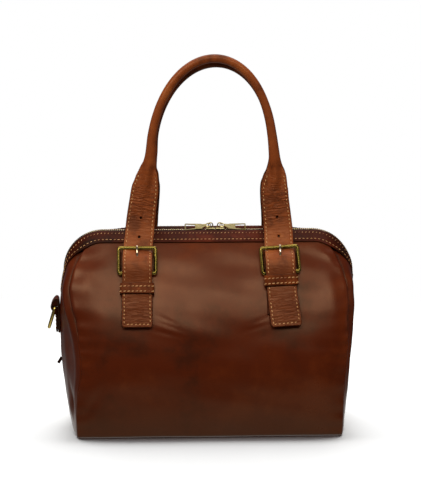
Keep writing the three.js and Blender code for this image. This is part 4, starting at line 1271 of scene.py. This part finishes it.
class HANDBAG_OT_handles(bpy.types.Operator):
    """Make the two handles: rolled grips that open into flat, stitched straps"""

    bl_idname = "handbag.handles"
    bl_label = "Handles"

    def execute(self, context):
        for name, side, *shape in HANDLES:
            rings, marks, uv = HandlePath(side, *shape).skin()
            piece(f"{name}_strap", *skin(rings), MATERIALS[f"{name}_strap"], "strap_leather",
                  stands_for=[f"{name}_handle"], marks=marks, uv=uv)
        return {"FINISHED"}


# Buckles and keepers

def fitting_x(column):
    return STRAP_ON_FACE[STRAP_ON_FACE[:, 0] == HEEL[0], column][0]


def buckle(x, side, turn):
    """A square frame: a ridged bar carried round a rectangle with tight corners, from heel bar to top bar,
    and turned on the strap."""
    heel, top = off_face(x, *HEEL, side), off_face(x, *TOP_BAR, side)
    up = unit(top - heel)
    tall = np.linalg.norm(top - heel) / 2 - FRAME_CORNER
    wide = (FRAME_WIDTH - FRAME_FACE) / 2 - FRAME_CORNER
    a = np.linspace(0, np.pi / 2, 9)
    centres = ((wide, tall), (-wide, tall), (-wide, -tall), (wide, -tall))
    turns = [np.stack([np.cos(a + k * np.pi / 2), np.sin(a + k * np.pi / 2)], -1) for k in range(4)]
    loop = np.concatenate([centre + FRAME_CORNER * arc for centre, arc in zip(centres, turns)])
    step = unit(np.roll(loop, -1, 0) - np.roll(loop, 1, 0))
    out = np.stack([step[:, 1], -step[:, 0]], -1)
    t = around(28) + np.pi / 28
    flat = loop[:, None] + FRAME_FACE / 2 * powered(np.cos(t), FRAME_RIDGE)[None, :, None] * out[:, None]
    deep = np.broadcast_to(FRAME_BAR / 2 * powered(np.sin(t), FRAME_RIDGE), flat.shape[:2])
    across, up = turned(X_AXIS, up, turn)
    rings = placed(flat, (heel + top) / 2, across, up)
    return skin(rings + deep[..., None] * np.cross(across, up), closed=True)


def prong(x, side):
    """A prong: a round rod along a smooth path from the heel bar, over the top bar, thinning to its tip."""
    path, length = spline(off_face(x, PRONG[:, 0], PRONG[:, 1], side))
    s = np.linspace(0, length, 60)
    radius = PRONG_RADIUS * np.sqrt(np.clip((length - s + 0.05) / 1.6, 0.02, 1))
    return skin(tube(path(s), radius, 14, X_AXIS))


def keeper_frame(column, side):
    """Middle of a keeper and its directions: across the strap, out of it and along it."""
    low, high = (off_face(row[column], row[0], row[1], side) for row in STRAP_ON_FACE
                 if row[0] in KEEPER_FEET[column])
    along = unit(high - low)
    across = unit(np.cross(side * Y_AXIS, along))
    return (low + high) / 2, across, np.cross(along, across), along


def keeper_line():
    """Middle line of a keeper's band: up beside the strap, round over it, and down again."""
    wide = KEEPER_INSIDE + KEEPER_THICK / 2
    over = STRAP_HALF_THICK + 2 * GAP + KEEPER_THICK / 2
    half = np.array([
        (wide, -KEEPER_REACH), (wide, -1.5), (wide - 0.2, over - 1.5), (wide - 1.4, over - 0.3),
        (wide - 3.4, over), (wide - 9, over + 0.25), (3, over + 0.35)])
    return np.concatenate([half, half[::-1] * np.array([-1, 1])])


def keeper(column, side):
    """A keeper: a folded strip along its line, set square to the strap."""
    strip = folded_strip(keeper_line(), KEEPER_THICK, KEEPER_LENGTH / 2, count=90, round_off=1.0)
    edge = np.exp(-(KEEPER_LENGTH / 2 - np.abs(strip[..., 2])) / 0.5)
    return placed(strip, *keeper_frame(column, side)), edge


class HANDBAG_OT_buckles(bpy.types.Operator):
    """Make the buckles, prongs and keepers, and dress the chapes under the straps"""

    bl_idname = "handbag.buckles"
    bl_label = "Buckles"

    def execute(self, context):
        for face, side in SIDES:
            for column, (end, _) in zip(LEG_COLUMNS, ENDS):
                name = f"{face}_{end}"
                x = fitting_x(column)
                piece(f"{name}_frame", *buckle(x, side, FRAME_TURN.get(name, 0)), MATERIALS["brass"], "brass",
                      stands_for=[f"{name}_buckle"])
                piece(f"{name}_pin", *prong(x, side), MATERIALS["pin"], "brass",
                      stands_for=[f"{name}_prong"])
                rings, edge = keeper(column, side)
                piece(f"{name}_loop", *skin(rings), MATERIALS["keeper"], "strap_leather",
                      stands_for=[f"{name}_keeper"], marks={"edge": edge})
                dress(f"{name}_chape", MATERIALS["dark"])
        return {"FINISHED"}


# Ring tabs and rings

def tab_start(way):
    return max(end_reach(way, 0.0, RING_HEIGHT), end_reach(way, 0.0, TAB_TOP + TAB_LOOP))


def tab_line(way):
    """Middle line of a ring tab: up the end, folded down round the ring's bar, and back onto the end."""
    def on_end(heights, off):
        heights = np.array(heights, float)
        return np.column_stack([end_reach(way, 0 * heights, heights) + off, heights])
    inner = TAB_LIFT + TAB_THICK / 2
    outer = inner + TAB_THICK + GAP
    return np.concatenate([
        on_end([TAB_FOOT, 118, 126, 134, 141], inner),
        TAB_FOLD + (tab_start(way), RING_HEIGHT),
        on_end([TAB_THREAD_TOP, 125, 118, TAB_FOOT + 1], outer),
    ])


def ring_tab(way):
    """A ring tab: a folded strip along its line, as wide as the ring's bar."""
    strip = folded_strip(tab_line(way), TAB_THICK, TAB_HALF, count=110)
    edge = np.exp(-(TAB_HALF - np.abs(strip[..., 2])) / 0.6)
    reach, height, y = strip[..., 0], strip[..., 1], strip[..., 2]
    return vectors(way * (reach - drape(way, y, height)), y, height), edge


def tab_core(way):
    """Leather packed into a tab's fold above and below the ring's bar: plain sections across the tab."""
    y = np.linspace(-TAB_HALF + 0.5, TAB_HALF - 0.5, 9)[:, None]
    return joined([
        skin(vectors(way * (tab_start(way) + section[None, :, 0]), y, RING_HEIGHT + section[None, :, 1]))
        for section in TAB_PACKING])


def drape(way, y, z):
    """How far a tab's cut edges bend in with the end, fully on the end and not in the loop above."""
    fall = end_reach(way, 0 * z, z) - end_reach(way, y, z)
    return (fall + 0.7) * (1 - smooth(z, 132, 144))


def d_ring(way):
    """A ring: a round wire along a straight bar and a bow, its corners eased by a running mean."""
    bar = np.linspace(-RING_HALF, RING_HALF, 60)
    a = np.linspace(0, np.pi, 140)
    bow = np.concatenate([
        vectors(0, bar, 0 * bar), vectors(0, RING_HALF, np.linspace(-0.5, -5.5, 11)),
        vectors(0, RING_HALF * np.cos(a), -6 - (RING_DROP - 6) * np.sin(a)),
        vectors(0, -RING_HALF, np.linspace(-5.5, -0.5, 11))])
    window = np.hanning(15)[1:-1]
    window /= window.sum()
    wide = np.concatenate([bow[-6:], bow, bow[:6]])
    path = np.stack([np.convolve(wide[:, k], window, "valid") for k in range(3)], -1)
    rings = tube(path, RING_WIRE, 18, X_AXIS, closed=True)
    turn = -way * RING_TILT[way]
    x, z = turned(rings[..., 0], rings[..., 2], turn)
    return vectors(x + way * (tab_start(way) + RING_OUT), rings[..., 1], z + RING_HEIGHT)


def tongue():
    """The small tip on the left end: a short strip, bent a little away from the leather."""
    line = np.array([(0.6, 1.0), (0.9, -1.0), (1.4, -3.5), (2.1, -6.0)])
    strip = folded_strip(line, TONGUE_THICK, TONGUE_HALF, count=20)
    x, z = strip[..., 0], strip[..., 1]
    up, out = turned(z, x, TONGUE_LEAN)
    taper = 1 - 0.35 * smooth(-z, 3, 7.5)
    start = end_reach(-1, TONGUE_Y, TONGUE_HEIGHT) + 2 * GAP
    return vectors(-(start + out), TONGUE_Y + strip[..., 2] * taper, TONGUE_HEIGHT + up)


class HANDBAG_OT_rings(bpy.types.Operator):
    """Make the ring tabs and rings at both ends, and the small tongue on the left end"""

    bl_idname = "handbag.rings"
    bl_label = "Rings"

    def execute(self, context):
        for name, way in ENDS:
            rings, edge = ring_tab(way)
            piece(f"{name}_tab", *skin(rings), MATERIALS["body"], "body_leather",
                  stands_for=[f"{name}_ring_tab"], marks={"edge": edge})
            # Dark leather packed into the fold: painted shade inside it
            piece(f"{name}_tab_core", *tab_core(way), MATERIALS["dark"], "body_leather", sharp=40)
            piece(f"{name}_loop_ring", *skin(d_ring(way), closed=True), MATERIALS["ring"], "brass",
                  body=f"{name}_ring", stands_for=[f"{name}_d_ring"])
        rings = tongue()
        piece("end_tongue", *skin(rings), MATERIALS["dark"], "dark_leather", stands_for=["gusset_tongue"],
              marks={"edge": np.full(rings.shape[:2], 0.8)})
        return {"FINISHED"}


# Stitches

def stitches(rows, length, width, slant=0.22):
    """Stitches along rows of places: a spindle of six sides, set a little askew and half sunk."""
    at = np.concatenate([row[0] for row in rows])
    out = np.concatenate([unit(row[1]) for row in rows])
    along = np.concatenate([unit(np.gradient(row[0], axis=0)) for row in rows])
    across = unit(np.cross(out, along))
    along, across = turned(along, across, slant)
    a = around(6)
    place = np.array([-0.5, -0.4, -0.15, 0.15, 0.4, 0.5])[:, None] * length
    girth = np.array([0.25, 0.75, 1, 1, 0.75, 0.25])[:, None] * width / 2
    spindle = vectors(place, girth * np.cos(a), girth * np.sin(a) * 0.8)
    shape, faces = skin(spindle)
    return copies(shape, faces, at + out * width * 0.12, along, across, np.cross(along, across))


def strip_thread(side, share, pitch):
    """A row of thread along a zip strip, at a share of its width."""
    near = strip_at(side, np.array([share - 0.02, share, share + 0.02]))[0]
    out = np.cross(np.gradient(near[:, 1], axis=0), near[:, 2] - near[:, 0])
    out = out * np.sign(out[:, 2:] + 1e-9)
    return evenly(near[:, 1], pitch, unit(out))


def keeper_thread(column, side, pitch):
    """Two rows of thread across a keeper, near its upper and lower edges."""
    path, length = spline(keeper_line())
    s = np.linspace(KEEPER_THREAD_INSET, length - KEEPER_THREAD_INSET, 120)
    line = path(s)
    step = unit(np.gradient(line, axis=0))
    away = np.stack([-step[:, 1], step[:, 0]], -1)
    away = away * np.sign(away[:, 1:])
    middle, across, out, along = keeper_frame(column, side)
    points = placed(line + away * KEEPER_THICK / 2, middle, across, out)
    return [evenly(points + level * KEEPER_LENGTH * along, pitch, placed(away, 0, across, out))
            for level in KEEPER_THREAD]


def tab_thread(way, pitch):
    """Rows of thread round the flat part of a ring tab, below its fold."""
    def row(y, z):
        reach = end_reach(way, 0 * z, z) + TAB_LIFT + 2 * TAB_THICK + GAP - drape(way, y, z)
        return evenly(vectors(way * reach, y, z), pitch, vectors(way + 0 * z, 0, 0))
    y = np.linspace(TAB_THREAD_INSET - TAB_HALF, TAB_HALF - TAB_THREAD_INSET, 30)
    z = np.linspace(TAB_FOOT + 3.2, TAB_THREAD_TOP, 40)
    return [row(y[0] + 0 * z, z), row(y[-1] + 0 * z, z), row(y, z[0] + 0 * y), row(y, z[-1] + 0 * y)]


class HANDBAG_OT_stitches(bpy.types.Operator):
    """Sew the straps, the zip strips, the keepers and the ring tabs"""

    bl_idname = "handbag.stitches"
    bl_label = "Stitches"

    def execute(self, context):
        sewn = context.scene.handbag_thread
        pitch, length, width = sewn.pitch / MM, sewn.length / MM, sewn.width / MM

        def sew(name, *rows):
            piece(f"{name}_stitches", *joined(rows), MATERIALS["thread"], "strap_leather")

        for name, side, *shape in HANDLES:
            sew(f"{name}_strap", stitches(HandlePath(side, *shape).thread(pitch), length, width))
            rows = [row for column in LEG_COLUMNS for row in keeper_thread(column, side, pitch)]
            sew(f"{name}_keeper", stitches(rows, length * 1.35, width))
            sew(f"{name}_strip", *(
                stitches([strip_thread(side, share, pitch * apart)], length * long, width * wide, slant)
                for share, apart, long, wide, slant in STRIP_THREAD))
        for name, way in ENDS:
            sew(f"{name}_tab", stitches(tab_thread(way, pitch), length, width * 0.9))
        return {"FINISHED"}


# Stage

def aim(made, at, target):
    made.location = Vector(at)
    made.rotation_euler = (Vector(target) - Vector(at)).to_track_quat("-Z", "Y").to_euler()


def soft_box(name, at, target, wide, tall, power, reaches):
    """A rectangular light that reaches only what its collection lets it."""
    light = bpy.data.lights.new(name, "AREA")
    light.shape = "RECTANGLE"
    light.size, light.size_y = wide, tall
    light.energy = power
    made = linked(name, light)
    made.light_linking.receiver_collection = reaches
    aim(made, at, target)


def reach(name, made, state):
    """A collection that keeps a light on one object or off it."""
    kept = bpy.data.collections.new(name)
    kept.objects.link(made)
    kept.collection_objects[0].light_linking.link_state = state
    return kept


def studio_floor(finish):
    """A pale floor: a flat square grid just below height 0."""
    row = FLOOR_CELLS + 1
    line = np.linspace(-FLOOR_REACH, FLOOR_REACH, row)
    x, y = np.meshgrid(line, line, indexing="ij")
    points = vectors(x, y, FLOOR_LEVEL).reshape(-1, 3)
    i, j = np.meshgrid(np.arange(FLOOR_CELLS), np.arange(FLOOR_CELLS), indexing="ij")
    a = (i * row + j).ravel()
    faces = np.stack([a, a + row, a + row + 1, a + 1], -1)
    mesh = bpy.data.meshes.new("floor")
    mesh.from_pydata(points.tolist(), [], faces.tolist())
    mesh.materials.append(finish)
    made = linked("floor", mesh)
    return made


def blend(tree, share, a, b):
    return node(tree, "ShaderNodeMixShader", {0: share, 1: a.outputs[0], 2: b.outputs[0]})


def pale_floor(pale):
    """White paper, lit, and blended towards a white glow with the distance from the base, which is painted
    light that pales the bag's shadow; in reflections it is a glow that fades instead, a painted reflection,
    and the light it throws back is grey."""
    made, tree, shader = material("pale_floor")
    wire(tree, shader, Base_Color=pale, Roughness=0.8, Specular_IOR_Level=0.1)
    place = own_place(tree)
    away = node(tree, "ShaderNodeVectorMath", {0: place}, operation="LENGTH").outputs["Value"]
    white = node(tree, "ShaderNodeEmission", {"Color": (1, 1, 1, 1)})
    beside = place
    for operation, by in (("ABSOLUTE", (0, 0, 0)), ("SUBTRACT", BASE_HALF), ("MAXIMUM", (0, 0, 0))):
        beside = node(tree, "ShaderNodeVectorMath", {0: beside, 1: by}, operation=operation).outputs[0]
    gap = node(tree, "ShaderNodeVectorMath", {0: beside}, operation="LENGTH").outputs["Value"]
    # Painted light: the lit floor is blended towards a white glow from the base outwards, paling the bag's
    # shadow
    painted_glow_share = maths(tree, "MAXIMUM", ramp(tree, gap, 0.0, 0.05, 0.0, 0.5), ramp(tree, away, 0.3, 0.9))
    near = blend(tree, painted_glow_share, shader, white)
    grey = node(tree, "ShaderNodeBsdfDiffuse", {"Color": (0.12, 0.115, 0.11, 1)})
    # Painted reflection: what glossy rays see of the floor is a glow, pale near the bag and dark further off
    paper = node(tree, "ShaderNodeEmission", {"Color": mix(
        tree, ramp(tree, away, 0.12, 0.5), (0.85, 0.85, 0.83, 1), (0.12, 0.12, 0.12, 1))})
    ray = node(tree, "ShaderNodeLightPath").outputs
    around = blend(tree, ray["Is Diffuse Ray"], paper, grey)
    both = blend(tree, ray["Is Camera Ray"], around, near)
    tree.links.new(both.outputs[0], tree.nodes["Material Output"].inputs["Surface"])
    return made


def white_room(world):
    """White where the camera sees past the floor, and a dim room for everything else."""
    world.use_nodes = True
    tree = world.node_tree
    seen = node(tree, "ShaderNodeLightPath").outputs["Is Camera Ray"]
    room = tree.nodes["Background"]
    room.inputs["Color"].default_value = (0.05, 0.05, 0.055, 1)
    white = node(tree, "ShaderNodeBackground", {"Color": (1, 1, 1, 1)})
    both = blend(tree, seen, room, white)
    tree.links.new(both.outputs[0], tree.nodes["World Output"].inputs["Surface"])


class HANDBAG_OT_stage(bpy.types.Operator):
    """Set the pale floor, the soft lights and the camera"""

    bl_idname = "handbag.stage"
    bl_label = "Stage"

    def execute(self, context):
        scene, studio = context.scene, context.scene.handbag_studio
        floor = studio_floor(pale_floor(studio.floor))
        lit = {"floor": reach("floor_light", floor, "INCLUDE"), "bag": reach("bag_light", floor, "EXCLUDE")}
        for name, at, target, wide, tall, power, reaches in SOFT_BOXES:
            soft_box(name, at, target, wide, tall, getattr(studio, power), lit[reaches])

        scene.world = bpy.data.worlds.new("studio")
        white_room(scene.world)

        lens = bpy.data.cameras.new("camera")
        lens.sensor_width = 36
        lens.lens = FOCAL_PIXELS * lens.sensor_width / max(IMAGE)
        lens.shift_x = (IMAGE[0] / 2 - TARGET_PIXEL[0]) / max(IMAGE)
        lens.shift_y = -(IMAGE[1] / 2 - TARGET_PIXEL[1]) / max(IMAGE)
        camera = linked("camera", lens)
        scene.camera = camera
        a, e = math.radians(CAMERA_AZIMUTH), math.radians(CAMERA_ELEVATION)
        back = Vector((math.sin(a) * math.cos(e), -math.cos(a) * math.cos(e), math.sin(e)))
        target = Vector(CAMERA_TARGET) * MM
        aim(camera, target + back * CAMERA_DISTANCE * MM, target)
        scene.view_settings.view_transform = "Standard"
        return {"FINISHED"}


# Add-on

class HANDBAG_PT_panel(bpy.types.Panel):
    """Settings and pieces of the handbag"""

    bl_idname = "HANDBAG_PT_panel"
    bl_label = "Leather handbag"
    bl_space_type = "VIEW_3D"
    bl_region_type = "UI"
    bl_category = "Handbag"

    def draw(self, context):
        for settings in SETTINGS:
            box = self.layout.box()
            values = getattr(context.scene, settings)
            for name in values.bl_rna.properties.keys():
                if name not in ("name", "rna_type"):
                    box.prop(values, name)
        for operator in OPERATORS:
            self.layout.operator(operator.bl_idname)


SETTINGS = {
    "handbag_leather": HandbagLeather,
    "handbag_metal": HandbagMetal,
    "handbag_thread": HandbagThread,
    "handbag_studio": HandbagStudio,
}
OPERATORS = (
    HANDBAG_OT_body,
    HANDBAG_OT_zip,
    HANDBAG_OT_handles,
    HANDBAG_OT_buckles,
    HANDBAG_OT_rings,
    HANDBAG_OT_stitches,
    HANDBAG_OT_stage,
)


def register():
    for made in (*SETTINGS.values(), *OPERATORS, HANDBAG_PT_panel):
        bpy.utils.register_class(made)
    for name, made in SETTINGS.items():
        setattr(bpy.types.Scene, name, bpy.props.PointerProperty(type=made))


def unregister():
    for name in SETTINGS:
        delattr(bpy.types.Scene, name)
    for made in (HANDBAG_PT_panel, *reversed(OPERATORS), *reversed(SETTINGS.values())):
        bpy.utils.unregister_class(made)


def main():
    register()
    make_materials(bpy.context.scene)
    for operator in OPERATORS:
        family, name = operator.bl_idname.split(".")
        getattr(getattr(bpy.ops, family), name)()


if __name__ == "__main__":
    main()
